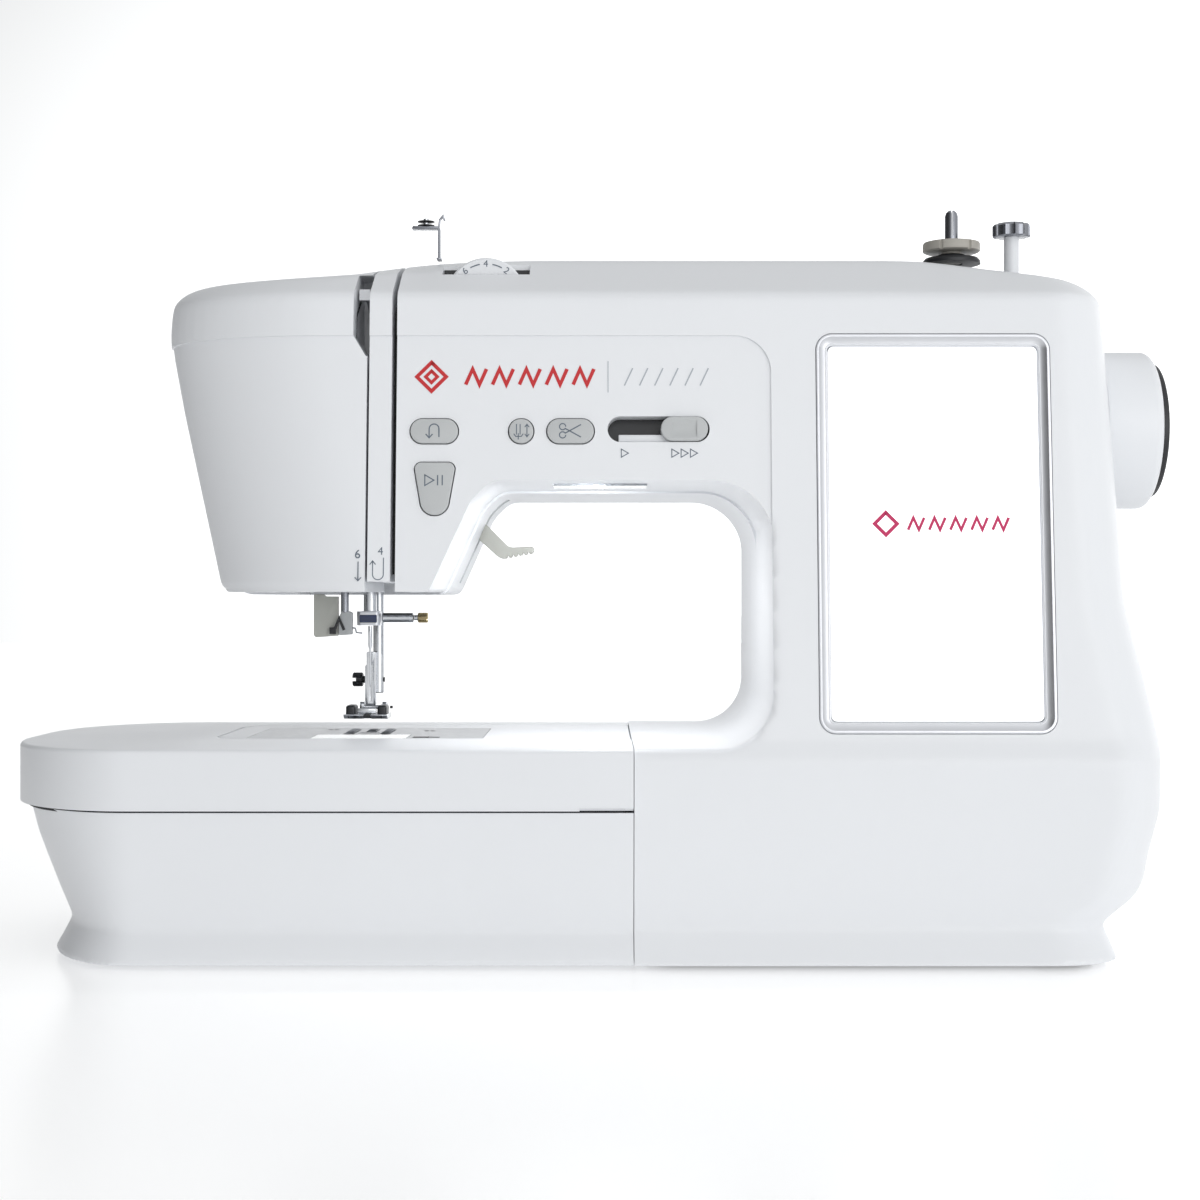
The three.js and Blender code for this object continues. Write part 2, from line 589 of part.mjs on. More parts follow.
/** Flat loop round two pulleys whose axes run along X. */
function beltLoop(x, width, high, highRadius, low, lowRadius) {
  const loop = (grow) => {
    const drop = new THREE.Vector2(low.y - high.y, low.z - high.z);
    const heading = Math.atan2(drop.y, drop.x);
    const wrap = Math.acos((highRadius - lowRadius) / drop.length());
    const steps = 12;
    const arc = (centre, radius, from, to) =>
      Array.from({ length: steps + 1 }, (_, k) => {
        const angle = from + ((to - from) * k) / steps;
        return new THREE.Vector2(centre.y + radius * Math.cos(angle), centre.z + radius * Math.sin(angle));
      });
    const upper = arc(high, highRadius + grow, heading + wrap, heading + 2 * Math.PI - wrap);
    const lower = arc(low, lowRadius + grow, heading - wrap, heading + wrap);
    return new THREE.Shape([...upper, ...lower]);
  };
  const inner = 0.5;
  const outer = 2;
  const body = alongX(loop(outer), x - width / 2, x + width / 2);
  return body.subtract(alongX(loop(inner), x - width, x + width));
}

function driveTrain() {
  const crank = NEEDLE_X + 10.5;
  const mainShaft = turnedX(
    [
      [0, crank],
      [16, crank],
      [16, crank + 5],
      [SHAFT_RADIUS, crank + 5],
      [SHAFT_RADIUS, BELT_X - 5],
      [TIMING_RADIUS, BELT_X - 5],
      [TIMING_RADIUS, BELT_X + 5],
      [SHAFT_RADIUS, BELT_X + 5],
      [SHAFT_RADIUS, RIGHT - 6],
      [0, RIGHT - 6],
    ],
    NEEDLE_Y,
    SHAFT_Z,
  );
  add('main_shaft', 'steel', mainShaft);
  const pulley = ring(SHAFT_RADIUS + GAP, DRIVE_RADIUS, DRIVE_X - 5, DRIVE_X + 5);
  add('drive_pulley', 'dark', turnedX(pulley, NEEDLE_Y, SHAFT_Z, 32));
  const gear = NEEDLE_X - 4.5;
  const lowerShaft = turnedX(
    [
      [0, gear],
      [13.3, gear],
      [13.3, gear + 9],
      [SHAFT_RADIUS - 1, gear + 9],
      [SHAFT_RADIUS - 1, BELT_X - 5],
      [TIMING_RADIUS, BELT_X - 5],
      [TIMING_RADIUS, BELT_X + 5],
      [0, BELT_X + 5],
    ],
    NEEDLE_Y,
    LOWER_SHAFT_Z,
  );
  add('lower_shaft', 'steel', lowerShaft);
  const top = { y: NEEDLE_Y, z: SHAFT_Z };
  const bottom = { y: NEEDLE_Y, z: LOWER_SHAFT_Z };
  add('timing_belt', 'rubber', beltLoop(BELT_X, 8, top, TIMING_RADIUS, bottom, TIMING_RADIUS));
  const motorAxis = { y: MOTOR_Y, z: MOTOR_Z };
  add('motor_belt', 'rubber', beltLoop(DRIVE_X, 8, top, DRIVE_RADIUS, motorAxis, MOTOR_PULLEY_RADIUS));
  const motorEnd = RIGHT - 60;
  add('motor', 'cast', turnedX(rod(24, motorEnd - 65, motorEnd), MOTOR_Y, MOTOR_Z));
  const motorPulley = [
    [0, motorEnd + GAP],
    [3, motorEnd + GAP],
    [3, DRIVE_X - 5],
    [MOTOR_PULLEY_RADIUS, DRIVE_X - 5],
    [MOTOR_PULLEY_RADIUS, DRIVE_X + 5],
    [0, DRIVE_X + 5],
  ];
  add('motor_pulley', 'steel', turnedX(motorPulley, MOTOR_Y, MOTOR_Z));
  const column = reach(outline(FRONT_VIEW).getPoints(1), SHAFT_Z - WHEEL_RADIUS)[1];
  const inside = column + WHEEL_CLEARANCE;
  const bore = SHAFT_RADIUS + GAP;
  const wheel = [
    [bore, inside - 8.5],
    [HUB_RADIUS, inside - 8.5],
    [HUB_RADIUS, inside],
    [WHEEL_RADIUS - 2, inside],
    [WHEEL_RADIUS, inside + 2],
    [WHEEL_RADIUS, RIGHT - 8],
    [WHEEL_RADIUS - 1, RIGHT - 5],
    [WHEEL_RADIUS - 4, RIGHT - 3.5],
    [bore, RIGHT - 3.5],
    [bore, inside - 8.5],
  ];
  add('handwheel', 'shell', turnedX(wheel, NEEDLE_Y, SHAFT_Z, 40));
  add('handwheel_cap', 'dark', turnedX(rod(WHEEL_RADIUS - 5, RIGHT - 3.2, RIGHT), NEEDLE_Y, SHAFT_Z, 32));
}

// ---- hook and bobbin, under the needle plate ----
const HOOK_Y = NEEDLE_Y - 20.5;
const HOOK_RADIUS = 19;
function hookUnit() {
  const low = LOWER_SHAFT_Z;
  const hook = [
    [0, low - 12],
    [3, low - 12],
    [3, low - 6],
    [6.7, low - 6],
    [6.7, low + 6],
    [3, low + 6],
    [3, low + 14],
    [HOOK_RADIUS, low + 14],
    [HOOK_RADIUS, low + 18],
    [HOOK_RADIUS - 2, low + 18],
    [HOOK_RADIUS - 2, low + 16],
    [0, low + 16],
  ];
  add('rotary_hook', 'chrome', turnedZ(hook, NEEDLE_X, HOOK_Y, 32));
  const floor = low + 16.4;
  const holder = [
    [0, floor],
    [HOOK_RADIUS - 2.4, floor],
    [HOOK_RADIUS - 2.4, BED - 9.5],
    [11.4, BED - 9.5],
    [11.4, floor + 1.6],
    [0, floor + 1.6],
  ];
  add('bobbin_case', 'dark', turnedZ(holder, NEEDLE_X, HOOK_Y, 32));
  const seat = floor + 2;
  const bobbin = [
    [3, seat],
    [10.2, seat],
    [10.2, seat + 1],
    [5, seat + 1],
    [5, seat + 10.4],
    [10.2, seat + 10.4],
    [10.2, seat + 11.4],
    [3, seat + 11.4],
    [3, seat],
  ];
  add('bobbin', 'glass', turnedZ(bobbin, NEEDLE_X, HOOK_Y, 28));
}

// ---- free arm, needle plate and feed ----
const PLATE = {
  left: NEEDLE_X - 50,
  right: NEEDLE_X + 53,
  front: NEEDLE_Y - 38,
  back: NEEDLE_Y + 32,
  thick: 1.6,
};
const COVER = { left: NEEDLE_X - 22, right: NEEDLE_X + 20, back: NEEDLE_Y - 13 };
const FEED_ROWS = [
  [NEEDLE_X - 10.3, NEEDLE_X - 6.8, NEEDLE_Y - 8],
  [NEEDLE_X - 1.8, NEEDLE_X + 1.8, NEEDLE_Y + 6],
  [NEEDLE_X + 6, NEEDLE_X + 9.4, NEEDLE_Y - 8],
];
const FEED_BACK = NEEDLE_Y + 19;
const FEED_TRAVEL = 2;

function freeArm() {
  const corners = [
    [ARM_LEFT, ARM_FRONT, ARM_CORNER],
    [SEAM_X - GAP, ARM_FRONT, 0],
    [SEAM_X - GAP, ARM_BACK, 0],
    [ARM_LEFT, ARM_BACK, ARM_CORNER],
  ];
  const low = BED - 59;
  const outer = alongZ(outline(corners), low, BED);
  const inner = alongZ(outline(corners, WALL), low + WALL, BED - WALL);
  const openEnd = box(
    SEAM_X - 8,
    SEAM_X + 5,
    ARM_FRONT + WALL,
    ARM_BACK - WALL,
    low + WALL,
    BED - WALL,
  );
  const seat = alongZ(
    outline(rectangle(PLATE.left - GAP, PLATE.right + GAP, PLATE.front - GAP, PLATE.back + GAP, 3)),
    BED - PLATE.thick - GAP,
    BED + 1,
  );
  const rim = 5;
  const through = box(
    PLATE.left + rim,
    PLATE.right - rim,
    PLATE.front + 1,
    PLATE.back - rim,
    BED - WALL - 1,
    BED + 1,
  );
  add('free_arm_cover', 'shell', cut(outer, inner, openEnd, seat, through));
}

function needlePlate() {
  const under = BED - PLATE.thick;
  const blank = alongZ(outline(rectangle(PLATE.left, PLATE.right, PLATE.front, PLATE.back, 3)), under, BED);
  const play = 0.6;
  const slots = FEED_ROWS.map(([x0, x1, y0]) =>
    box(x0 - play, x1 + play, y0 - FEED_TRAVEL - play, FEED_BACK + FEED_TRAVEL + play, under - 1, BED + 1),
  );
  const needleSlot = alongZ(
    outline(rectangle(NEEDLE_X - 4.5, NEEDLE_X + 4.5, NEEDLE_Y - 1.2, NEEDLE_Y + 1.2, 1.1)),
    under - 1,
    BED + 1,
  );
  const coverHole = box(COVER.left, COVER.right, PLATE.front - 1, COVER.back, under - 1, BED + 1);
  const latchLeft = COVER.right + 2;
  const latchFront = PLATE.front + 4;
  const latchSlot = box(latchLeft, COVER.right + 14, latchFront, latchFront + 7, under - 1, BED + 1);
  add('needle_plate', 'steel', cut(blank, ...slots, needleSlot, coverHole, latchSlot));
  const lid = box(COVER.left + GAP, COVER.right - GAP, PLATE.front, COVER.back - GAP, under, BED);
  add('bobbin_cover', 'glass', lid);
  const latch = box(
    latchLeft + 0.4, COVER.right + 9, latchFront + 0.4, latchFront + 6.6, under, BED + 0.2,
  );
  add('bobbin_cover_latch', 'dark', latch);
}

function feedDog() {
  const low = BED - 8;
  const high = BED - 5;
  const carrier = joined(
    box(FEED_ROWS[0][0] - 0.5, FEED_ROWS[0][1] + 0.5, NEEDLE_Y - 7.6, FEED_BACK + 2, low, high),
    box(FEED_ROWS[2][0] - 0.5, FEED_ROWS[2][1] + 0.5, NEEDLE_Y - 7.6, FEED_BACK + 2, low, high),
    box(FEED_ROWS[0][0] - 0.5, FEED_ROWS[2][1] + 0.5, NEEDLE_Y + 6, FEED_BACK + 2, low, high),
  );
  const toothPitch = 3;
  const rows = FEED_ROWS.map(([x0, x1, y0]) => {
    const teeth = Math.floor((FEED_BACK - y0) / toothPitch);
    const profile = [[y0, low + 1]];
    profile.push([y0 + teeth * toothPitch, low + 1]);
    for (let k = teeth; k > 0; k -= 1) {
      profile.push([y0 + k * toothPitch, BED + 0.6]);
      profile.push([y0 + (k - 1) * toothPitch + 0.4, BED - 0.4]);
    }
    return alongX(outline(profile), x0, x1);
  });
  add('feed_dog', 'steel', joined(carrier, ...rows));
}

// ---- needle and presser unit, about the needle at bed height ----
function needleUnit() {
  const unit = subGroup(NEEDLE_X, NEEDLE_Y, BED);
  const clampLow = 48.5;
  add('needle_bar', 'chrome', turnedZ(rod(BAR_RADIUS, clampLow + 2.3, clampLow + 107.5), 0, 0, 20), unit);
  const block = box(-5.7, 5.1, -6, 4.3, clampLow, clampLow + 6.5);
  const socket = turnedZ(rod(BAR_RADIUS + GAP, clampLow + 2, clampLow + 9), 0, 0, 20);
  add('needle_clamp', 'chrome', block.subtract(socket), unit);
  const screw = [
    [0, 5.4],
    [2.15, 5.4],
    [2.15, 21.6],
    [2.9, 21.6],
    [2.9, 26.3],
    [0, 26.3],
  ];
  add('needle_clamp_screw', 'chrome', turnedX(screw, 0, clampLow + 3.5, 16), unit);
  const needle = [
    [0, clampLow - 28],
    [0.45, clampLow - 25],
    [0.45, clampLow - 11],
    [1, clampLow - 9],
    [1, clampLow - GAP],
    [0, clampLow - GAP],
  ];
  add('needle', 'chrome', turnedZ(needle, 0, 0, 12), unit);

  const barX = BAR_X - NEEDLE_X;
  const barY = BAR_Y - NEEDLE_Y;
  const holderTop = 36.5;
  add('presser_bar', 'chrome', turnedZ(rod(PRESSER_RADIUS, holderTop + GAP, 150), barX, barY, 20), unit);
  const holder = alongY(
    outline([
      [barX - 2.4, 12.7, 0.5],
      [barX + 1.4, 12.7, 0.5],
      [barX + 3.1, 20, 1],
      [barX + 3.1, holderTop, 1],
      [barX - 4.5, holderTop, 1],
      [barX - 4.5, 20, 1],
    ]),
    barY - 5.5,
    barY + 5.5,
  );
  add('presser_foot_holder', 'chrome', holder, unit);
  const knurl = [
    [0, -8.6],
    [3.2, -8.6],
    [3.2, -4.2],
    [1.6, -4.2],
    [1.6, barX - 4.5 - GAP],
    [0, barX - 4.5 - GAP],
  ];
  add('foot_holder_screw', 'dark', turnedX(knurl, barY, 23.6, 16), unit);

  const soleLow = 6.7;
  const soleHigh = 9;
  const sole = cut(
    alongZ(outline(rectangle(-10.6, 9, -13, 21, 2)), soleLow, soleHigh),
    alongZ(outline(rectangle(-4, 4, -2, 2.4, 1.5)), 0, 20),
    box(-1.6, 1.6, -14, -7, 0, 20),
  );
  const lugs = [-4.2, 6].map((x) => (
    box(x - 1, x + 1, barY - 8.5, barY - 1.5, soleHigh - 0.5, soleHigh + 4.8)
  ));
  const pin = turnedX(rod(0.9, -4.6, 6.4), barY - 5, 11.2, 12);
  add('presser_foot', 'chrome', joined(sole, ...lugs, pin), unit);

  const bracket = alongY(
    outline([
      [-25, 46, 1],
      [-18, 43, 1],
      [-7.6, 43, 1],
      [-7.6, 62.7, 1],
      [-25, 62.7, 1],
    ]),
    -13,
    -8,
  );
  const stem = turnedZ(rod(1.9, 60, 95), -11, -10.5, 12);
  const tip = box(-9.4, -4.4, -12, -9, 43.5, 46);
  add('needle_threader', 'warm', joined(bracket, stem, tip), unit);
}

function takeUpLever() {
  const tipY = FRONT + 36;
  const tipZ = CREST - 19;
  const outlineYZ = [
    [TAKE_UP.y + 5, TAKE_UP.z - 5, 4],
    [TAKE_UP.y + 5, TAKE_UP.z + 5, 4],
    [TAKE_UP.y - 3, TAKE_UP.z + 6, 3],
    [tipY, tipZ + 2, 1],
    [tipY - 2, tipZ - 3, 1],
    [TAKE_UP.y - 6, TAKE_UP.z - 4, 3],
  ];
  const plate = alongX(outline(outlineYZ), TAKE_UP.x0, TAKE_UP.x1);
  const bore = turnedX(rod(TAKE_UP.pin + GAP, TAKE_UP.x0 - 2, TAKE_UP.x1 + 2), TAKE_UP.y, TAKE_UP.z, 16);
  const eye = box(SLOT_LEFT - 4.8, TAKE_UP.x1, tipY - 2, tipY + 3, tipZ - 3, tipZ + 1.5);
  add('take_up_lever', 'steel', cut(joined(plate, eye), bore));
}

function presserLever() {
  const { x, y, z } = PRESSER_HINGE;
  const lever = alongY(
    outline([
      [x - 5, z - 5, 3],
      [x + 5, z - 6, 2],
      [x + 17, z - 17, 4],
      [x + 33, z - 14, 2],
      [x + 33, z - 10, 1],
      [x + 21, z - 11, 4],
      [x + 7, z + 3, 2],
      [x, z + 6, 3],
      [x - 5, z + 4, 3],
    ]),
    y - 4,
    y + 4,
  );
  add('presser_lever', 'warm', lever);
}

// ---- things on top ----
function topPieces() {
  const dial = rod(DIAL_RADIUS, DIAL_Y - 4.5, DIAL_Y + 4.5);
  add('tension_dial', 'shell', turnedY(dial, DIAL_X, DIAL_Z, 40));

  const top = CREST + 0.6;
  const guide = subGroup(NEEDLE_X + 34.2, FRONT + 70, top);
  const post = box(-1.2, 1.2, -3, 3, 0, 17);
  const arm = box(-11.5, 1, -3, 3, 13, 15);
  const discs = turnedZ([...rod(3.75, 14.4, 17.4)], -5.8, 0, 20);
  const hook = box(-2, 2.4, -1.5, 1.5, 16, 20);
  add('thread_guide', 'chrome', joined(post, arm, discs, hook), guide);

  const winder = subGroup(WINDER_X, WINDER_Y, top);
  add('bobbin_winder_base', 'dark', turnedZ(ring(4.7, 12.7, 0, 4), 0, 0, 28), winder);
  const spindle = [
    [0, 0.2],
    [4.3, 0.2],
    [4.3, 5.2],
    [12.5, 5.2],
    [12.5, 9.6],
    [2.9, 9.6],
    [2.9, 22.6],
    [1.4, 23.8],
    [0, 23.8],
  ];
  add('bobbin_winder_spindle', 'steel', turnedZ(spindle, 0, 0, 28), winder);
  const stop = [
    [0, -4],
    [3.35, -4],
    [3.35, 11.8],
    [8.35, 11.8],
    [8.35, 18],
    [0, 18],
  ];
  add('bobbin_winder_stop', 'chrome', turnedZ(stop, 26.4, 0, 24), winder);

  const rodY = (WELL.front + WELL.back) / 2;
  const rodZ = WELL.floor + 19;
  const pinLeft = WELL.right - 78;
  add('spool_pin', 'shell', turnedX(rod(3, pinLeft, WELL.right - GAP), rodY, rodZ, 16));
  add('spool_cap', 'shell', turnedX(ring(3 + GAP, 15, pinLeft + 2, pinLeft + 7), rodY, rodZ, 28));

  const legHalf = HANDLE.leg / 2;
  const grip = alongY(
    outline([
      [HANDLE.left - legHalf, HANDLE.z - HANDLE.drop - 5, 6],
      [HANDLE.right + legHalf, HANDLE.z - HANDLE.drop - 5, 6],
      [HANDLE.right + legHalf, HANDLE.z + 4, 3],
      [HANDLE.right - legHalf, HANDLE.z + 4, 3],
      [HANDLE.right - legHalf, HANDLE.z - HANDLE.drop + 5, 4],
      [HANDLE.left + legHalf, HANDLE.z - HANDLE.drop + 5, 4],
      [HANDLE.left + legHalf, HANDLE.z + 4, 3],
      [HANDLE.left - legHalf, HANDLE.z + 4, 3],
    ]),
    HANDLE.y - 3.5,
    HANDLE.y + 3.5,
  );
  add('carry_handle', 'shell', grip);
  const { left, right, front, back } = LAMP;
  const lens = box(left + GAP, right - GAP, front + GAP, back - GAP, UNDERSIDE, UNDERSIDE + WALL);
  add('lamp_lens', 'glass', lens);
}

// ---- connector panel behind the opening in the right side ----
function connectors() {
  const depth = 12;
  const plate = box(
    PANEL.x - depth, PANEL.x - 1.5, PANEL.front - 2, PANEL.back + 2, PANEL.low - 2, PANEL.high + 2,
  );
  const pocket = (y0, y1, z0, z1, deep) => box(PANEL.x - 1.5 - deep, PANEL.x + 1, y0, y1, z0, z1);
  const rockerY = PANEL.front + 11;
  const rockerZ = PANEL.high - 13;
  const sockets = [
    pocket(PANEL.front + 22, PANEL.front + 38, PANEL.high - 20, PANEL.high - 4, 9),
    pocket(PANEL.front + 22, PANEL.front + 36, PANEL.low + 5, PANEL.low + 11, 9),
    pocket(PANEL.front + 6, PANEL.front + 15, PANEL.low + 4, PANEL.low + 13, 9),
    pocket(rockerY - 6.6, rockerY + 6.6, rockerZ - 10, rockerZ + 10, 9),
  ];
  add('connector_panel', 'dark', cut(plate, ...sockets));
  const rocker = alongY(
    outline([
      [PANEL.x - 6.5, rockerZ - 5, 2],
      [PANEL.x - 0.5, rockerZ - 8.6, 1],
      [PANEL.x - 1.3, rockerZ, 3],
      [PANEL.x - 0.5, rockerZ + 8.6, 1],
      [PANEL.x - 6.5, rockerZ + 5, 2],
    ]),
    rockerY - 6,
    rockerY + 6,
  );
  add('power_switch', 'dark', rocker);
}

// ---- extension tray, wrapped round the free arm ----
function trayPlan(inset) {
  const reachX = 60 - inset;
  const reachY = 76 - inset;
  const steps = 8;
  const corner = (centreY, from) =>
    Array.from({ length: steps + 1 }, (_, k) => {
      const angle = from + (Math.PI / 2) * (k / steps);
      return new THREE.Vector2(LEFT + 60 + reachX * Math.cos(angle), centreY + reachY * Math.sin(angle));
    });
  const right = SEAM_X - GAP - inset;
  return new THREE.Shape([
    new THREE.Vector2(right, FRONT + inset),
    new THREE.Vector2(right, TRAY_BACK - inset),
    ...corner(TRAY_BACK - 76, Math.PI / 2),
    ...corner(FRONT + 76, Math.PI),
  ]);
}

function armClearance(grow, low, high) {
  const gap = 0.4 + grow;
  const corners = [
    [ARM_LEFT - gap, ARM_FRONT - gap, ARM_CORNER + gap],
    [SEAM_X + 5, ARM_FRONT - gap, 0],
    [SEAM_X + 5, ARM_BACK + gap, 0],
    [ARM_LEFT - gap, ARM_BACK + gap, ARM_CORNER + gap],
  ];
  return alongZ(outline(corners), low, high);
}

const TRAY_FRONT_VIEW = [
  [LEFT + 16, GROUND_GAP, 0],
  [SEAM_X, GROUND_GAP, 0],
  [SEAM_X, TRAY_GROOVE_Z, 0],
  [LEFT + 4, TRAY_GROOVE_Z, 0],
  [LEFT + 16, 30, 20],
  [LEFT + 22, 16.5, 4],
];
const TRAY_SIDE_VIEW = [
  [FRONT, GROUND_GAP, 0],
  [TRAY_BACK, GROUND_GAP, 0],
  [TRAY_BACK - 6, 16.5, 6],
  [TRAY_BACK - 2, TRAY_GROOVE_Z, 0],
  [FRONT + 2, TRAY_GROOVE_Z, 0],
  [FRONT + 7, 16.5, 6],
];

function tray() {
  const lower = (inset, top) => {
    const plan = alongZ(trayPlan(inset), GROUND_GAP + inset, top);
    const frontView = alongY(outline(TRAY_FRONT_VIEW, inset), FRONT, BACK);
    const sideView = alongX(outline(TRAY_SIDE_VIEW, inset), LEFT, SEAM_X);
    return plan.intersect(frontView).intersect(sideView);
  };
  const outer = cut(lower(0, TRAY_GROOVE_Z), armClearance(0, 0, BED + 1));
  const inner = cut(lower(WALL, TRAY_GROOVE_Z), armClearance(WALL, 0, BED + 1));
  const mouth = inner.intersect(box(LEFT, SEAM_X, FRONT, BACK, TRAY_GROOVE_Z - 12, TRAY_GROOVE_Z));
  add('tray_body', 'shell', cut(outer, inner, mouth.translate([0, 0, 6])));

  const under = TRAY_GROOVE_Z + GAP;
  const band = cut(alongZ(trayPlan(0), under, BED), armClearance(0, 0, BED + 1));
  const hollow = cut(alongZ(trayPlan(WALL), under - 1, BED - WALL), armClearance(WALL, 0, BED + 1));
  add('tray_top', 'shell', band.subtract(hollow));
}

casings();
threadChannel();
base();
frame();
driveTrain();
hookUnit();
freeArm();
needlePlate();
feedDog();
needleUnit();
takeUpLever();
presserLever();
topPieces();
connectors();
controls();
screen();
tray();

export default machine;
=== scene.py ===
import json
import math

import bmesh
import bpy
from mathutils import Matrix, Vector


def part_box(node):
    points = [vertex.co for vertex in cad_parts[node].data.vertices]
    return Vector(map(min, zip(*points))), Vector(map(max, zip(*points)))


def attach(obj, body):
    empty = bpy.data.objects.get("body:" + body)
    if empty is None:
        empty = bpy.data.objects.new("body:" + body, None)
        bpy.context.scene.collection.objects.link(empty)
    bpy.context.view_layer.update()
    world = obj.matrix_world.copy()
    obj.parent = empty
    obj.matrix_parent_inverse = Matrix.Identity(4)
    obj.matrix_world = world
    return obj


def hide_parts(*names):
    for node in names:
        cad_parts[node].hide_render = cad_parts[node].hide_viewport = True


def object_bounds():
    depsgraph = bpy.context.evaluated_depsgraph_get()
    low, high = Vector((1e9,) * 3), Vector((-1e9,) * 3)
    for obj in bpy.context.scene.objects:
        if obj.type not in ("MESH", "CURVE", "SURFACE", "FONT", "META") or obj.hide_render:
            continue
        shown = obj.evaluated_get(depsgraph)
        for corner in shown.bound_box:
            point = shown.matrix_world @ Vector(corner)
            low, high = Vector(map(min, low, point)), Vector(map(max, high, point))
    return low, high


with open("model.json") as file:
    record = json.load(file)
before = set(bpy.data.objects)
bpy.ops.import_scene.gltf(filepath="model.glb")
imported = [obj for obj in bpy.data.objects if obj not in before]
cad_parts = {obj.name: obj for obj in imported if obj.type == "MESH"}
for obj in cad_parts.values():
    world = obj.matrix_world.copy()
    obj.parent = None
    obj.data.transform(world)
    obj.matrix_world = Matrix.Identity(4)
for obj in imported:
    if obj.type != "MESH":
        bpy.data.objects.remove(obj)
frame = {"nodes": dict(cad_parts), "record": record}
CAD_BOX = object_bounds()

MM = 0.001

# ---- places, in millimetres, from the frame ----
LOW, HIGH = ([c / MM for c in corner] for corner in CAD_BOX)
LEFT, RIGHT, FRONT, BACK = LOW[0], HIGH[0], LOW[1], HIGH[1]


def span(node):
    low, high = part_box(node)
    return [c / MM for c in low], [c / MM for c in high]


NEEDLE_LOW, NEEDLE_HIGH = span("needle")
NEEDLE_X = (NEEDLE_LOW[0] + NEEDLE_HIGH[0]) / 2
NEEDLE_Y = (NEEDLE_LOW[1] + NEEDLE_HIGH[1]) / 2
BED = span("tray_top")[1][2]
CREST = span("front_casing")[1][2]
SEAM_X = span("tray_top")[1][0] + 0.3
UNDERSIDE = span("lamp_lens")[0][2]
HEAD_BOTTOM = UNDERSIDE - 45.5
THROAT_X = SEAM_X + 56.2
GROUND_GAP = span("tray_body")[0][2]
GROOVE_Z = BED - 25
SPLIT_Y = 30
LEAN = math.radians(5.56)
FACE_Y, FACE_Z = FRONT + 4, BED + 4
TRAY_BACK = span("tray_top")[1][1]
ARM_LOW, ARM_HIGH = span("free_arm_cover")
SLOT_LEFT, SLOT_RIGHT = NEEDLE_X + 8.5, NEEDLE_X + 20.8
SHAFT_Z = UNDERSIDE + 28.5
SKIN = 5
RECESS = 0.9
VOXEL = 1.4


# ---- outlines and solids ----
def outline(corners, inset=0.0, step=math.radians(6)):
    """Points of a closed counter-clockwise outline through (x, y, radius) corners."""
    count = len(corners)
    point = [Vector(c[:2]) for c in corners]
    moved = []
    for i, here in enumerate(point):
        into = (here - point[i - 1]).normalized()
        away = (point[(i + 1) % count] - here).normalized()
        first, second = Vector((-into.y, into.x)), Vector((-away.y, away.x))
        moved.append(here + (first + second) / (1 + first.dot(second)) * inset)
    path = []
    for i, here in enumerate(moved):
        before, after = here - moved[i - 1], moved[(i + 1) % count] - here
        room = min(before.length, after.length) * 0.49
        before, after = before.normalized(), after.normalized()
        turn = math.atan2(before.x * after.y - before.y * after.x, before.dot(after))
        side = math.copysign(1, turn)
        half = math.tan(abs(turn) / 2)
        tangent = min((corners[i][2] - side * inset) * half, room)
        if tangent <= 0.02 or abs(turn) < 0.01:
            path.append(here)
            continue
        start = here - before * tangent
        centre = start + Vector((-before.y, before.x)) * (side * tangent / half)
        steps = max(1, round(abs(turn) / step))
        path += [centre + Matrix.Rotation(turn * k / steps, 2) @ (start - centre) for k in range(steps + 1)]
    return path


def rounded(x0, x1, y0, y1, radius):
    return [(x0, y0, radius), (x1, y0, radius), (x1, y1, radius), (x0, y1, radius)]


def mesh_object(name, bm):
    bmesh.ops.recalc_face_normals(bm, faces=bm.faces)
    mesh = bpy.data.meshes.new(name)
    bm.to_mesh(mesh)
    bm.free()
    obj = bpy.data.objects.new(name, mesh)
    bpy.context.scene.collection.objects.link(obj)
    return obj


AXES = {"x": lambda a, b, t: (t, a, b), "y": lambda a, b, t: (a, t, b), "z": lambda a, b, t: (a, b, t)}


def prism(axis, points, low, high, place=None):
    """Outline carried along an axis, from low to high, in millimetres."""
    bm = bmesh.new()
    ends = []
    for t in (low, high):
        at = [Vector(AXES[axis](p[0], p[1], t)) for p in points]
        ends.append([bm.verts.new((place @ v if place else v) * MM) for v in at])
    bm.faces.new(ends[0])
    bm.faces.new(ends[1][::-1])
    for i in range(len(points)):
        j = (i + 1) % len(points)
        bm.faces.new((ends[0][i], ends[0][j], ends[1][j], ends[1][i]))
    return mesh_object("solid", bm)


def block(x0, x1, y0, y1, z0, z1):
    return prism("z", [(x0, y0), (x1, y0), (x1, y1), (x0, y1)], z0, z1)


def turned(axis, profile, centre=(0, 0, 0), sides=72, wave=None):
    """Round piece about an axis from (radius, height) pairs; wave changes the radius round the turn."""
    bm = bmesh.new()
    rings = []
    for radius, height in profile:
        if radius < 1e-6:
            here = Vector(AXES[axis](0, 0, height)) + Vector(centre)
            rings.append([bm.verts.new(here * MM)])
            continue
        ring = []
        for k in range(sides):
            angle = 2 * math.pi * k / sides
            r = radius + (wave(angle, radius, height) if wave else 0)
            here = Vector(AXES[axis](r * math.cos(angle), r * math.sin(angle), height)) + Vector(centre)
            ring.append(bm.verts.new(here * MM))
        rings.append(ring)
    pairs = list(zip(rings, rings[1:]))
    if len(rings[0]) > 1:
        pairs.append((rings[-1], rings[0]))
    for lower, upper in pairs:
        for k in range(sides):
            j = (k + 1) % sides
            corners = [
                lower[k % len(lower)], lower[j % len(lower)], upper[j % len(upper)], upper[k % len(upper)]
            ]
            unique = list(dict.fromkeys(corners))
            if len(unique) > 2:
                bm.faces.new(unique)
    return mesh_object("turned", bm)


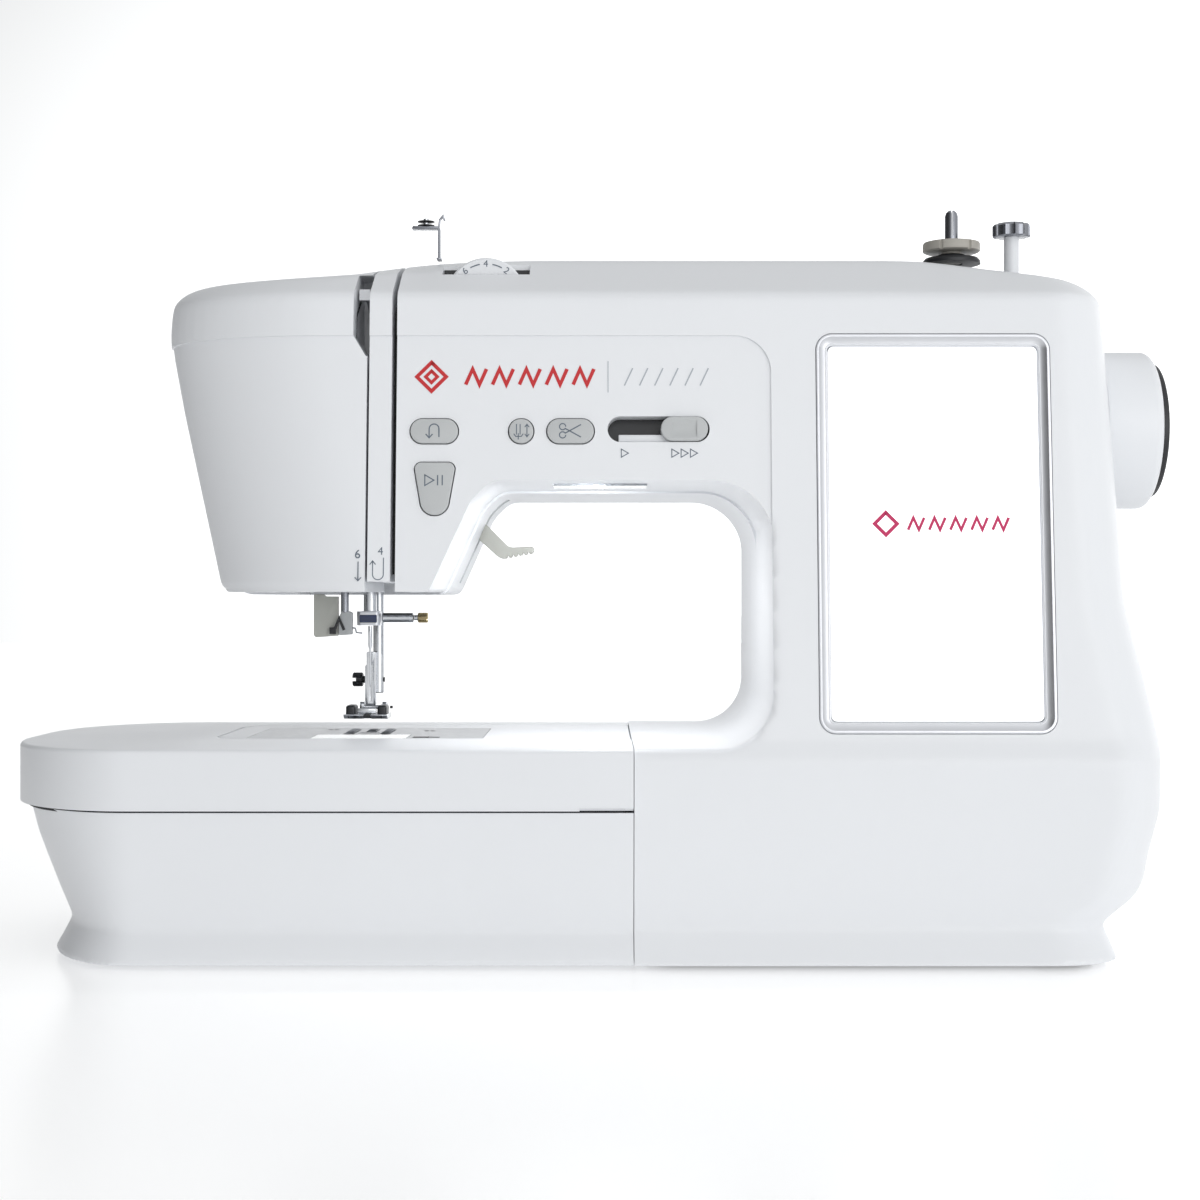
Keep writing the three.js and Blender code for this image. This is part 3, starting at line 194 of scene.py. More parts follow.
def settle(obj):
    """Turns an object's modifiers into its mesh."""
    graph = bpy.context.evaluated_depsgraph_get()
    mesh = bpy.data.meshes.new_from_object(obj.evaluated_get(graph))
    obj.modifiers.clear()
    obj.data = mesh
    return obj


def combine(kind, body, *tools):
    for tool in tools:
        change = body.modifiers.new("cut", "BOOLEAN")
        change.operation = kind
        change.solver = "MANIFOLD"
        change.object = tool
        settle(body)
        bpy.data.objects.remove(tool)
    return body


def cut(body, *tools):
    return combine("DIFFERENCE", body, *tools)


def joined(body, *others):
    return combine("UNION", body, *others)


def shared(body, *others):
    return combine("INTERSECT", body, *others)


def copy_of(obj):
    twin = bpy.data.objects.new("solid", obj.data.copy())
    bpy.context.scene.collection.objects.link(twin)
    return twin


def soften(obj, voxel=VOXEL, rounds=4):
    """Rounds every edge of a moulding by rebuilding it on a fine grid."""
    grid = obj.modifiers.new("grid", "REMESH")
    grid.mode = "VOXEL"
    grid.voxel_size = voxel * MM * 1
    smooth = obj.modifiers.new("smooth", "SMOOTH")
    smooth.factor = 0.5
    smooth.iterations = rounds
    return settle(obj)


def bevel(obj, width, segments=3, angle=35):
    edge = obj.modifiers.new("edge", "BEVEL")
    edge.width = width * MM
    edge.segments = segments
    edge.limit_method = "ANGLE"
    edge.angle_limit = math.radians(angle)
    return settle(obj)


def finish_piece(obj, name, body, slot, look, *nodes, angle=40):
    """Names a piece, makes it ride on its body and gives it its finish."""
    obj.name = name
    obj.data.name = name
    obj.data.materials.clear()
    obj.data.materials.append(look)
    obj.data.polygons.foreach_set("use_smooth", [True] * len(obj.data.polygons))
    obj.data.set_sharp_from_angle(angle=math.radians(angle))
    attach(obj, body)
    if nodes:
        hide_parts(*nodes)
    return obj


# ---- finishes ----
class Value:
    """A shader socket that can be used in a Python expression."""

    def __init__(self, graph, socket):
        self.graph, self.socket = graph, socket

    def _math(self, operation, *terms):
        return self.graph.node("ShaderNodeMath", {"operation": operation}, dict(enumerate(terms)))

    def __add__(self, other):
        return self._math("ADD", self, other)

    def __radd__(self, other):
        return self._math("ADD", other, self)

    def __sub__(self, other):
        return self._math("SUBTRACT", self, other)

    def __rsub__(self, other):
        return self._math("SUBTRACT", other, self)

    def __mul__(self, other):
        return self._math("MULTIPLY", self, other)

    def __rmul__(self, other):
        return self._math("MULTIPLY", other, self)

    def __pow__(self, other):
        return self._math("POWER", self, other)

    def __gt__(self, other):
        return self._math("GREATER_THAN", self, other)


class Graph:
    """One material's node tree."""

    def __init__(self, name):
        self.material = bpy.data.materials.new(name)
        self.material.use_nodes = True
        self.tree = self.material.node_tree
        self.shader = self.tree.nodes["Principled BSDF"]
        self.place = self.node("ShaderNodeTexCoord", output="Object")

    def node(self, kind, settings=None, inputs=None, output=0):
        node = self.tree.nodes.new(kind)
        for key, value in (settings or {}).items():
            setattr(node, key, value)
        for key, value in (inputs or {}).items():
            self.feed(node.inputs[key], value)
        return Value(self, node.outputs[output])

    def feed(self, socket, value):
        if isinstance(value, Value):
            self.tree.links.new(value.socket, socket)
        else:
            socket.default_value = value

    def noise(self, scale, detail=3.0, roughness=0.5):
        inputs = {"Vector": self.place, "Scale": scale, "Detail": detail, "Roughness": roughness}
        return self.node("ShaderNodeTexNoise", None, inputs)

    def mix(self, share, first, second):
        settings = {"data_type": "RGBA"}
        return self.node("ShaderNodeMix", settings, {0: share, 6: first, 7: second}, output=2)

    def bump(self, height, depth_mm, strength=1.0):
        inputs = {"Height": height, "Distance": depth_mm * MM, "Strength": strength}
        return self.node("ShaderNodeBump", None, inputs)

    def set(self, **sockets):
        for name, value in sockets.items():
            self.feed(self.shader.inputs[name.replace("_", " ")], value)
        return self.material


class Sky(Graph):
    """The world's node tree."""

    def __init__(self, name):
        self.material = bpy.data.worlds.new(name)
        self.material.use_nodes = True
        self.tree = self.material.node_tree
        self.shader = self.tree.nodes["Background"]
        self.place = self.node("ShaderNodeTexCoord", output="Generated")

    def side(self, direction, start, end):
        """Rises smoothly from 0 to 1 as the direction of view turns that way."""
        aim = self.node(
            "ShaderNodeVectorMath", {"operation": "DOT_PRODUCT"}, {0: self.place, 1: direction}, output=1
        )
        inputs = {"Value": aim, "From Min": start, "From Max": end}
        return self.node("ShaderNodeMapRange", {"interpolation_type": "SMOOTHSTEP"}, inputs)


def tint(color, share):
    return tuple(c * share for c in color) + (1.0,)


def moulded_plastic(name, color, rough, grain_mm=0.012, spread=0.03, coat=0.0):
    """Injection-moulded plastic: fine grain, slow colour drift and a little handling wear."""
    g = Graph(name)
    drift = g.noise(9.0, 2.0)
    grain = g.noise(1400.0, 2.0, 0.6)
    wear = g.noise(38.0, 4.0)
    base = g.mix(drift, tint(color, 1 - spread), tint(color, 1.0))
    height = grain * 0.6 + g.noise(220.0, 2.0) * 0.4
    return g.set(
        Base_Color=base,
        Roughness=wear * 0.10 + (rough - 0.05),
        Normal=g.bump(height, grain_mm),
        Coat_Weight=coat,
        Coat_Roughness=0.12,
    )


def metal(name, color, rough, brushed=0.0, scratch=0.05):
    """Plated or machined metal with fine tool marks."""
    g = Graph(name)
    stretch = g.node(
        "ShaderNodeMapping", None, {"Vector": g.place, "Scale": (60.0, 60.0, 900.0 if brushed else 60.0)}
    )
    lines = g.node("ShaderNodeTexNoise", None, {"Vector": stretch, "Scale": 6.0, "Detail": 4.0})
    stain = g.noise(60.0, 3.0)
    return g.set(
        Base_Color=g.mix(stain, tint(color, 0.88), tint(color, 1.0)),
        Metallic=1.0,
        Roughness=lines * (0.12 + brushed) + stain * scratch + (rough - 0.06),
        Normal=g.bump(lines, 0.01 + 0.02 * brushed, 0.5),
    )


def rubber(name):
    g = Graph(name)
    speck = g.noise(700.0, 4.0)
    return g.set(
        Base_Color=g.mix(speck, (0.018, 0.018, 0.019, 1), (0.04, 0.04, 0.042, 1)),
        Roughness=speck * 0.15 + 0.72,
        Normal=g.bump(speck, 0.05),
    )


def clear(name):
    g = Graph(name)
    haze = g.noise(90.0, 3.0)
    return g.set(
        Base_Color=g.mix(haze, (0.80, 0.84, 0.88, 1), (0.92, 0.95, 0.97, 1)),
        Roughness=haze * 0.06 + 0.06,
        Transmission_Weight=0.7,
        IOR=1.49,
    )


def lit_screen(name):
    """White display under glass, with the faint rows of its panel."""
    g = Graph(name)
    glow = g.noise(6.0, 1.0)
    rows = g.node("ShaderNodeTexWave", {"bands_direction": "X"}, {"Vector": g.place, "Scale": 900.0})
    light = g.mix(glow, (0.97, 0.98, 1.0, 1), (1.0, 1.0, 1.0, 1))
    return g.set(
        Base_Color=g.mix(rows * 0.05, (0.9, 0.91, 0.93, 1), (0.8, 0.81, 0.84, 1)),
        Roughness=glow * 0.04 + 0.07,
        Emission_Color=light,
        Emission_Strength=0.62,
        Coat_Weight=0.6,
        Coat_Roughness=0.03,
    )


def printed(name, color):
    """Ink pad-printed on the casing."""
    g = Graph(name)
    grain = g.noise(1200.0, 2.0)
    return g.set(Base_Color=g.mix(grain, tint(color, 0.9), tint(color, 1.05)), Roughness=grain * 0.1 + 0.4)


WHITE = moulded_plastic("white_casing", (0.80, 0.815, 0.84), 0.36)
KEY_GREY = moulded_plastic("key_grey", (0.50, 0.515, 0.52), 0.42, 0.008)
WARM_GREY = moulded_plastic("warm_grey", (0.53, 0.535, 0.49), 0.45, 0.015)
BLACK = moulded_plastic("black_plastic", (0.012, 0.013, 0.016), 0.38, 0.02)
# Near-black fill for deep gaps and channels: painted shade where the gaps fall into shadow.
PAINTED_GAP_SHADE = moulded_plastic("painted_gap_shade", (0.012, 0.013, 0.016), 0.6, 0.02)
SEAT_BEIGE = moulded_plastic("seat_beige", (0.42, 0.40, 0.36), 0.4, 0.01)
CHROME = metal("chrome", (0.62, 0.635, 0.66), 0.14)
# Chrome with a darker base colour: painted dark reflections, in place of the dark stripes the chrome
# mirrors.
CHROME_PAINTED_DARK = metal("chrome_painted_dark_reflection", (0.30, 0.31, 0.34), 0.18)
STEEL = metal("brushed_steel", (0.55, 0.56, 0.58), 0.30, 0.12)
CAST = metal("cast_metal", (0.38, 0.385, 0.40), 0.52, 0.0, 0.15)
SILVER = metal("satin_silver", (0.66, 0.67, 0.70), 0.30, 0.04)
RUBBER = rubber("rubber")
CLEAR = clear("clear_plastic")
SCREEN = lit_screen("lit_screen")
BRASS = metal("brass", (0.46, 0.38, 0.22), 0.24)
DEEP_BLUE = moulded_plastic("deep_blue_window", (0.03, 0.045, 0.11), 0.25, 0.004)
BOARD = moulded_plastic("circuit_board", (0.02, 0.16, 0.06), 0.5, 0.05, 0.4)
INK = printed("grey_ink", (0.11, 0.14, 0.18))
RED_INK = printed("red_ink", (0.55, 0.01, 0.015))
MAGENTA_INK = printed("magenta_ink", (0.55, 0.012, 0.11))
PALE_INK = printed("pale_ink", (0.42, 0.45, 0.49))

SLOT_LOOKS = {
    "white_plastic": WHITE,
    "button_plastic": KEY_GREY,
    "black_plastic": BLACK,
    "rubber": RUBBER,
    "cast_metal": CAST,
    "steel": STEEL,
    "chrome": CHROME,
    "clear_plastic": CLEAR,
    "warm_plastic": WARM_GREY,
    "satin_silver": SILVER,
    "screen_glass": SCREEN,
    "circuit_board": BOARD,
}


def dress_inner_nodes():
    """Nodes that stay as they are get their slot's finish and smooth turned faces."""
    slots = {row["node"]: row["material_slot"] for row in frame["record"]["subparts"]}
    for name, obj in frame["nodes"].items():
        if obj.hide_render:
            continue
        # The thread channel gets painted gap shade instead of its slot's finish.
        look = PAINTED_GAP_SHADE if name == "thread_channel" else SLOT_LOOKS[slots[name]]
        obj.data.materials.clear()
        obj.data.materials.append(look)
        obj.data.polygons.foreach_set("use_smooth", [True] * len(obj.data.polygons))
        obj.data.set_sharp_from_angle(angle=math.radians(35))


# ---- casing envelope ----
FRONT_VIEW = [
    (SEAM_X - 12, GROUND_GAP, 0),
    (RIGHT - 38, GROUND_GAP, 1),
    (RIGHT - 42, 15.5, 2),
    (RIGHT - 24, 29, 20),
    (RIGHT - 16, BED - 27, 30),
    (RIGHT - 16, BED + 2, 40),
    (RIGHT - 29, BED + 60, 60),
    (RIGHT - 35, CREST - 34, 40),
    (RIGHT - 37, CREST - 11.5, 12),
    (RIGHT - 66, CREST - 6.5, 20),
    (RIGHT - 100, CREST, 60),
    (NEEDLE_X + 9, CREST, 60),
    (NEEDLE_X - 27, CREST - 7.4, 30),
    (NEEDLE_X - 80, CREST - 12.5, 8),
    (NEEDLE_X - 82.5, UNDERSIDE + 64, 60),
    (NEEDLE_X - 76, UNDERSIDE + 32, 60),
    (NEEDLE_X - 58, HEAD_BOTTOM, 7),
    (NEEDLE_X + 35, HEAD_BOTTOM, 4),
    (NEEDLE_X + 52, UNDERSIDE - 8, 12),
    (NEEDLE_X + 60, UNDERSIDE, 10),
    (THROAT_X, UNDERSIDE, 25),
    (THROAT_X, BED, 22),
    (SEAM_X - 12, BED, 0),
]
CHAMFER_Z = CREST - 21
CHAMFER_Y = FACE_Y + (CHAMFER_Z - FACE_Z) * math.tan(LEAN)
SIDE_VIEW = [
    (FRONT, GROUND_GAP, 0),
    (BACK, GROUND_GAP, 0),
    (BACK - 7, 16.5, 2),
    (BACK - 4, BED + 3, 60),
    (BACK - 12, CREST - 20, 10),
    (BACK - 38, CREST, 20),
    (FRONT + 60, CREST, 30),
    (CHAMFER_Y, CHAMFER_Z, 5),
    (FACE_Y, FACE_Z, 8),
    (FRONT + 0.5, BED - 5, 5),
    (FRONT + 2, GROOVE_Z, 2),
    (FRONT + 7, 16.5, 2),
]
HEAD_CORNER = (72, 52)
COLUMN_CORNER = (28, 45)
BACK_CORNER = (24, 24)
FOOT_CORNER_DEPTH = 20


def reach(path, height):
    """Least and greatest first coordinate of a closed path at one height."""
    found = []
    for start, end in zip(path, path[1:] + path[:1]):
        if (start[1] > height) != (end[1] > height):
            found.append(start[0] + (end[0] - start[0]) * (height - start[1]) / (end[1] - start[1]))
    return min(found), max(found)


def quarter(x, y, radii, start, steps=14):
    turns = (start + math.pi / 2 * k / steps for k in range(steps + 1))
    return [(x + radii[0] * math.cos(t), y + radii[1] * math.sin(t)) for t in turns]


def lofted(rings, heights):
    """Solid through level rings that all have the same number of points."""
    bm = bmesh.new()
    levels = [[bm.verts.new(Vector((x, y, z)) * MM) for x, y in ring] for ring, z in zip(rings, heights)]
    for lower, upper in zip(levels, levels[1:]):
        for i in range(len(lower)):
            j = (i + 1) % len(lower)
            bm.faces.new((lower[i], lower[j], upper[j], upper[i]))
    bm.faces.new(levels[0])
    bm.faces.new(levels[-1][::-1])
    return mesh_object("loft", bm)


def rounded_body(inset):
    """Body with rounded plan corners, following the front and side views at every height."""
    front_path = [tuple(p) for p in outline(FRONT_VIEW, inset)]
    side_path = [tuple(p) for p in outline(SIDE_VIEW, inset)]
    low, high = GROUND_GAP + inset, CREST - inset
    heights = [low - 1] + [low + 0.1 + (high - low - 0.2) * k / 190 for k in range(191)] + [high + 1]
    rings = []
    for height in heights:
        z = min(max(height, low + 0.01), high - 0.05)
        right = reach(front_path, z)[1] + 0.5
        left = reach(front_path, max(z, HEAD_BOTTOM + inset + 1))[0] - 0.5
        front, back = reach(side_path, z)
        depth = FOOT_CORNER_DEPTH + (COLUMN_CORNER[1] - FOOT_CORNER_DEPTH) * min(1, z / (BED / 2))
        head = (HEAD_CORNER[0] - inset, HEAD_CORNER[1] - inset)
        column = (COLUMN_CORNER[0] - inset, depth - inset)
        rear = (BACK_CORNER[0] - inset, BACK_CORNER[1] - inset)
        rings.append(
            quarter(left + head[0], front + head[1], head, math.pi)
            + quarter(right - column[0], front + column[1], column, math.pi * 1.5)
            + quarter(right - rear[0], back - rear[1], rear, 0)
            + quarter(left + rear[0], back - rear[1], rear, math.pi / 2)
        )
    return lofted(rings, heights)


def envelope(inset):
    front = prism("y", outline(FRONT_VIEW, inset), FRONT - 1, BACK + 1)
    return shared(front, rounded_body(inset))


FACE = Matrix.Translation((0, FACE_Y, FACE_Z)) @ Matrix.Rotation(math.pi / 2 - LEAN, 4, "X")


def up(z):
    """Height above the ground turned into distance up the leaning face."""
    return (z - FACE_Z) / math.cos(LEAN)


def on_face(points, low, high):
    return prism("z", points, low, high, FACE)


PILL = 5.25
CONTROL_Z = UNDERSIDE + 21
KEYS = {
    "reverse_button": (
        "reverse", rounded(NEEDLE_X + 26.3, NEEDLE_X + 46.3, up(CONTROL_Z - 5.3), up(CONTROL_Z + 5.3), PILL)
    ),
    "needle_position_button": (
        "needle_position",
        rounded(NEEDLE_X + 66.5, NEEDLE_X + 77.1, up(CONTROL_Z - 5.3), up(CONTROL_Z + 5.3), PILL),
    ),
    "thread_cutter_button": (
        "thread_cutter",
        rounded(NEEDLE_X + 82.1, NEEDLE_X + 101.8, up(CONTROL_Z - 5.3), up(CONTROL_Z + 5.3), PILL),
    ),
    "start_stop_button": (
        "start_stop",
        [
            (NEEDLE_X + 31.5, up(CONTROL_Z - 34.7), 6.5),
            (NEEDLE_X + 41.8, up(CONTROL_Z - 34.7), 6.5),
            (NEEDLE_X + 45.6, up(CONTROL_Z - 12.6), 3),
            (NEEDLE_X + 27.6, up(CONTROL_Z - 12.6), 3),
        ],
    ),
}
SLIDER_Z = CONTROL_Z + 0.9
SLIDER = rounded(NEEDLE_X + 107.1, NEEDLE_X + 148.8, up(SLIDER_Z - 5.3), up(SLIDER_Z + 5.3), PILL)
GLASS_LOW, GLASS_HIGH = span("touch_screen")
SCREEN_X = (GLASS_LOW[0] + GLASS_HIGH[0]) / 2
HALF_SCREEN = 43
SCREEN_LOW = up(BED + 11)
SCREEN_TOP = SCREEN_LOW + 154
RIM = 5.2
BEZEL_OUT = rounded(
    SCREEN_X - HALF_SCREEN - RIM, SCREEN_X + HALF_SCREEN + RIM, SCREEN_LOW - RIM, SCREEN_TOP + RIM, 7
)
BEZEL_IN = rounded(SCREEN_X - HALF_SCREEN, SCREEN_X + HALF_SCREEN, SCREEN_LOW, SCREEN_TOP, 2.5)

DIAL_LOW, DIAL_HIGH = span("tension_dial")
DIAL_X, DIAL_Y = (DIAL_LOW[0] + DIAL_HIGH[0]) / 2, (DIAL_LOW[1] + DIAL_HIGH[1]) / 2
DIAL_Z = (DIAL_LOW[2] + DIAL_HIGH[2]) / 2
BASE_LOW, BASE_HIGH = span("bobbin_winder_base")
WINDER_X, WINDER_Y = (BASE_LOW[0] + BASE_HIGH[0]) / 2, (BASE_LOW[1] + BASE_HIGH[1]) / 2
PANEL_LOW, PANEL_HIGH = span("connector_panel")
PANEL_X = PANEL_HIGH[0] + 1.5
LAMP_LOW, LAMP_HIGH = span("lamp_lens")
LEVER_LOW, LEVER_HIGH = span("presser_lever")
HANDLE_LOW, HANDLE_HIGH = span("carry_handle")
WELL = {
    "left": THROAT_X - 100,
    "right": THROAT_X + 30,
    "front": SPLIT_Y + 4,
    "back": BACK - 24,
    "floor": CREST - 28,
}


def handle_lugs():
    lugs = []
    for x, side in ((HANDLE_LOW[0] + 4, -1), (HANDLE_HIGH[0] - 4, 1)):
        near = x + side * 4.3
        far = near + side * 7
        top = HANDLE_HIGH[2]
        view = [
            (BACK - 14, top - 8, 0), (BACK - 0.4, top - 8, 3.5), (BACK - 0.4, top, 3.5), (BACK - 14, top, 0)
        ]
        lugs.append(prism("x", outline(view), min(near, far), max(near, far)))
    return lugs


def vent_cuts():
    cuts = []
    for k in range(5):
        low = 26 + 9 * k
        view = [
            (FRONT + 52, low, 1.2),
            (FRONT + 92, low + 5, 1.2),
            (FRONT + 92, low + 8, 1.2),
            (FRONT + 52, low + 3, 1.2),
        ]
        cuts.append(prism("x", outline(view), RIGHT - 40, RIGHT))
    return cuts


def casings():
    outer = envelope(0)
    recess_view = [
        (LEFT, HEAD_BOTTOM - 20, 0),
        (THROAT_X, HEAD_BOTTOM - 20, 0),
        (THROAT_X, UNDERSIDE + 60.5, 15),
        (LEFT, UNDERSIDE + 60.5, 0),
    ]
    shell = cut(outer, envelope(SKIN))
    joined(shell, shared(block(RIGHT - 47.5, RIGHT, FRONT, BACK, -1, 24), envelope(0)))
    joined(shell, *handle_lugs())
    soften(shell)
    cut(shell, cut(prism("y", outline(recess_view), FRONT - 5, 0), envelope(RECESS)))
    bottom = prism("z", outline(rounded(SEAM_X + 5.4, RIGHT - 48, FRONT + 9, BACK - 9, 14)), -1, SKIN + 6)
    arm_window = block(SEAM_X - 20, SEAM_X + SKIN + 4, ARM_LOW[1] + 0.5, ARM_HIGH[1] - 0.5, -1, BED - SKIN)
    needle_window = block(
        NEEDLE_X - 31, NEEDLE_X + 32, NEEDLE_Y - 19, SPLIT_Y + 0.5, HEAD_BOTTOM - 5, HEAD_BOTTOM + 14
    )
    seam = block(SEAM_X - 30, SEAM_X, FRONT - 2, BACK + 2, -1, BED + 8)
    cut(shell, bottom, arm_window, needle_window, seam)

    front = shared(copy_of(shell), block(LEFT, RIGHT, FRONT - 1, SPLIT_Y - 0.15, -1, CREST + 1))
    cover = shared(copy_of(front), block(LEFT, SLOT_LEFT, FRONT - 1, BACK, -1, CREST + 1))
    strip = shared(
        copy_of(front),
        block(SLOT_LEFT + 1, SLOT_RIGHT - 2.1, FRONT - 1, BACK, HEAD_BOTTOM + 5, CREST + 1),
    )
    main = shared(front, block(SLOT_RIGHT, RIGHT, FRONT - 1, BACK, -1, CREST + 1))
    cut(
        main,
        *[on_face(outline(corners, -0.15), -14, 9) for _, corners in KEYS.values()],
        on_face(outline(SLIDER), -14, 9),
        on_face(outline(BEZEL_OUT, 0.1), -14, 9),
        block(DIAL_X - 18.4, DIAL_X + 18.4, DIAL_Y - 5.2, DIAL_Y + 5.2, DIAL_Z + 6, CREST + 2),
        block(DIAL_X - 21, DIAL_X + 21, DIAL_Y - 5.2, DIAL_Y + 5.2, CREST - 40, DIAL_Z + 9),
        prism(
            "z",
            outline(rounded(WINDER_X - 5, WINDER_X + 11.5, WINDER_Y - 5, WINDER_Y + 5, 4.9)),
            CREST - 9,
            CREST + 2,
        ),
        turned("x", [(0, RIGHT - 50), (9.5, RIGHT - 50), (9.5, RIGHT), (0, RIGHT)], (0, NEEDLE_Y, SHAFT_Z)),
        block(
            LAMP_LOW[0] - 0.3,
            LAMP_HIGH[0] + 0.3,
            LAMP_LOW[1] - 0.3,
            LAMP_HIGH[1] + 0.3,
            UNDERSIDE - 4,
            UNDERSIDE + 9,
        ),
        *vent_cuts(),
    )
    finish_piece(main, "front_casing_moulding", "machine", "white_plastic", WHITE, "front_casing")

    window = [
        (SLOT_LEFT - 5.7, CREST - 38.5, 1),
        (SLOT_LEFT - 0.6, CREST - 47, 1),
        (SLOT_LEFT + 2, CREST - 47, 0),
        (SLOT_LEFT + 2, CREST - 10.5, 0),
        (SLOT_LEFT - 5.7, CREST - 10.5, 0.5),
    ]
    cut(cover, prism("y", outline(window), FRONT, FRONT + 60))
    finish_piece(cover, "face_cover_moulding", "machine", "white_plastic", WHITE, "face_cover")
    guide_clear = block(LEFT, RIGHT, NEEDLE_Y - 20, BACK, 0, HEAD_BOTTOM + 12)
    cut(strip, guide_clear)
    finish_piece(
        strip, "thread_guide_strip_moulding", "machine", "white_plastic", WHITE, "thread_guide_strip"
    )

    rear = shared(shell, block(LEFT, RIGHT, SPLIT_Y + 0.15, BACK + 1, -1, CREST + 1))
    around = block(
        WELL["left"] - 4, WELL["right"] + 4, SPLIT_Y + 0.2, WELL["back"] + 4, WELL["floor"] - 4, CREST + 1
    )
    joined(rear, shared(around, envelope(0.3)))
    cut(
        rear,
        prism(
            "z",
            outline(rounded(WELL["left"], WELL["right"], WELL["front"], WELL["back"], 5)),
            WELL["floor"],
            CREST + 2,
        ),
        prism(
            "x",
            outline(rounded(PANEL_LOW[1] + 2, PANEL_HIGH[1] - 2, PANEL_LOW[2] + 2, PANEL_HIGH[2] - 2, 3)),
            PANEL_X - 1,
            RIGHT + 1,
        ),
        block(
            LEVER_LOW[0] - 7,
            LEVER_LOW[0] + 26,
            LEVER_LOW[1] - 2,
            LEVER_HIGH[1] + 2,
            UNDERSIDE - 40,
            UNDERSIDE + 6,
        ),
    )
    finish_piece(rear, "rear_casing_moulding", "machine", "white_plastic", WHITE, "rear_casing")


# ---- extension tray and free arm ----
def tray_plan(inset, right=None):
    """Plan of the tray, with its elliptical left end."""
    reach_x, reach_y = 60 - inset, 76 - inset
    corner = []
    for centre_y, turn in ((TRAY_BACK - 76, math.pi / 2), (FRONT + 76, math.pi)):
        for k in range(25):
            angle = turn + math.pi / 2 * k / 24
            corner.append((LEFT + 60 + reach_x * math.cos(angle), centre_y + reach_y * math.sin(angle)))
    right = SEAM_X - 0.3 if right is None else right
    return [(right, FRONT + inset), (right, TRAY_BACK - inset), *corner]


def arm_hole(grow, low, high):
    gap = 0.4 + grow
    corners = [
        (ARM_LOW[0] - gap, ARM_LOW[1] - gap, 20 + gap),
        (SEAM_X + 5, ARM_LOW[1] - gap, 0),
        (SEAM_X + 5, ARM_HIGH[1] + gap, 0),
        (ARM_LOW[0] - gap, ARM_HIGH[1] + gap, 20 + gap),
    ]
    return prism("z", outline(corners), low, high)


# How far in from the band the lower tray stands, at each height.
TRAY_INSET = [
    (2.0, 0.3, 16),
    (8, 3.0, 19.5),
    (15, 6.9, 23),
    (16.5, 7, 23),
    (18, 6.7, 22.6),
    (29, 5.2, 17.5),
    (42, 3.6, 12),
    (52, 2.7, 8),
    (GROOVE_Z + 8, 1.4, 2.5),
]


def tray():
    bm = bmesh.new()
    heights = [2 + k * (GROOVE_Z + 4) / 66 for k in range(67)]
    rings = []
    for z in heights:
        (z0, d0, x0), (z1, d1, x1) = next(
            (a, b) for a, b in zip(TRAY_INSET, TRAY_INSET[1:]) if z <= b[0] + 1e-6
        )
        t = (z - z0) / (z1 - z0)
        front_in, left_in = d0 + (d1 - d0) * t, x0 + (x1 - x0) * t
        ring = []
        for x, y in tray_plan(0, SEAM_X + 10):
            along = max(0.0, min(1.0, (LEFT + 60 - x) / 60))
            middle = (FRONT + TRAY_BACK) / 2
            shrink = 1 - front_in / ((TRAY_BACK - FRONT) / 2)
            ring.append(bm.verts.new(Vector((x + left_in * along, middle + (y - middle) * shrink, z)) * MM))
        rings.append(ring)
    bm.faces.new(rings[0][::-1])
    bm.faces.new(rings[-1])
    for lower, upper in zip(rings, rings[1:]):
        for i in range(len(lower)):
            j = (i + 1) % len(lower)
            bm.faces.new((lower[i], lower[j], upper[j], upper[i]))
    body = mesh_object("tray", bm)
    inside = prism("z", [(max(x, LEFT + 40), y) for x, y in tray_plan(16)], 8, GROOVE_Z + 5)
    cut(body, arm_hole(0, 0, BED + 1))
    cut(inside, arm_hole(SKIN, 0, BED + 1))
    cut(body, inside)
    soften(body)
    cut(
        body,
        block(SEAM_X - 0.3, SEAM_X + 20, FRONT - 1, BACK, -1, BED),
        block(LEFT - 1, SEAM_X + 5, FRONT - 1, BACK, GROOVE_Z - 0.5, BED),
    )
    finish_piece(body, "tray_body_moulding", "tray", "white_plastic", WHITE, "tray_body")

    band = bevel(prism("z", tray_plan(0, SEAM_X + 10), GROOVE_Z - 8, BED), 1.8, 5)
    hollow = prism("z", tray_plan(SKIN, SEAM_X + 20), GROOVE_Z - 9, BED - 4)
    cut(band, arm_hole(0, 0, BED + 1))
    cut(hollow, arm_hole(SKIN, 0, BED + 1))
    cut(band, hollow)
    notch = block(SEAM_X - 22, SEAM_X + 1, FRONT - 1, FRONT + 3, GROOVE_Z, GROOVE_Z + 1.6)
    cut(
        band,
        notch,
        block(SEAM_X - 0.3, SEAM_X + 20, FRONT - 1, BACK, -1, BED + 1),
        block(LEFT - 1, SEAM_X + 5, FRONT - 1, BACK, -1, GROOVE_Z + 0.4),
    )
    finish_piece(band, "tray_top_moulding", "tray", "white_plastic", WHITE, "tray_top")
    # Dark ring set back behind the groove between band and tray body: painted shade in the groove.
    groove_shade = prism("z", tray_plan(3.2), GROOVE_Z - 1.2, GROOVE_Z + 1.6)
    cut(
        groove_shade,
        arm_hole(2, 0, BED),
        prism("z", tray_plan(5.4), 0, BED),
        block(SEAM_X - 4, SEAM_X + 1, FRONT, BACK, 0, BED),
    )
    finish_piece(groove_shade, "tray_groove_painted_shade", "tray", "white_plastic", PAINTED_GAP_SHADE)


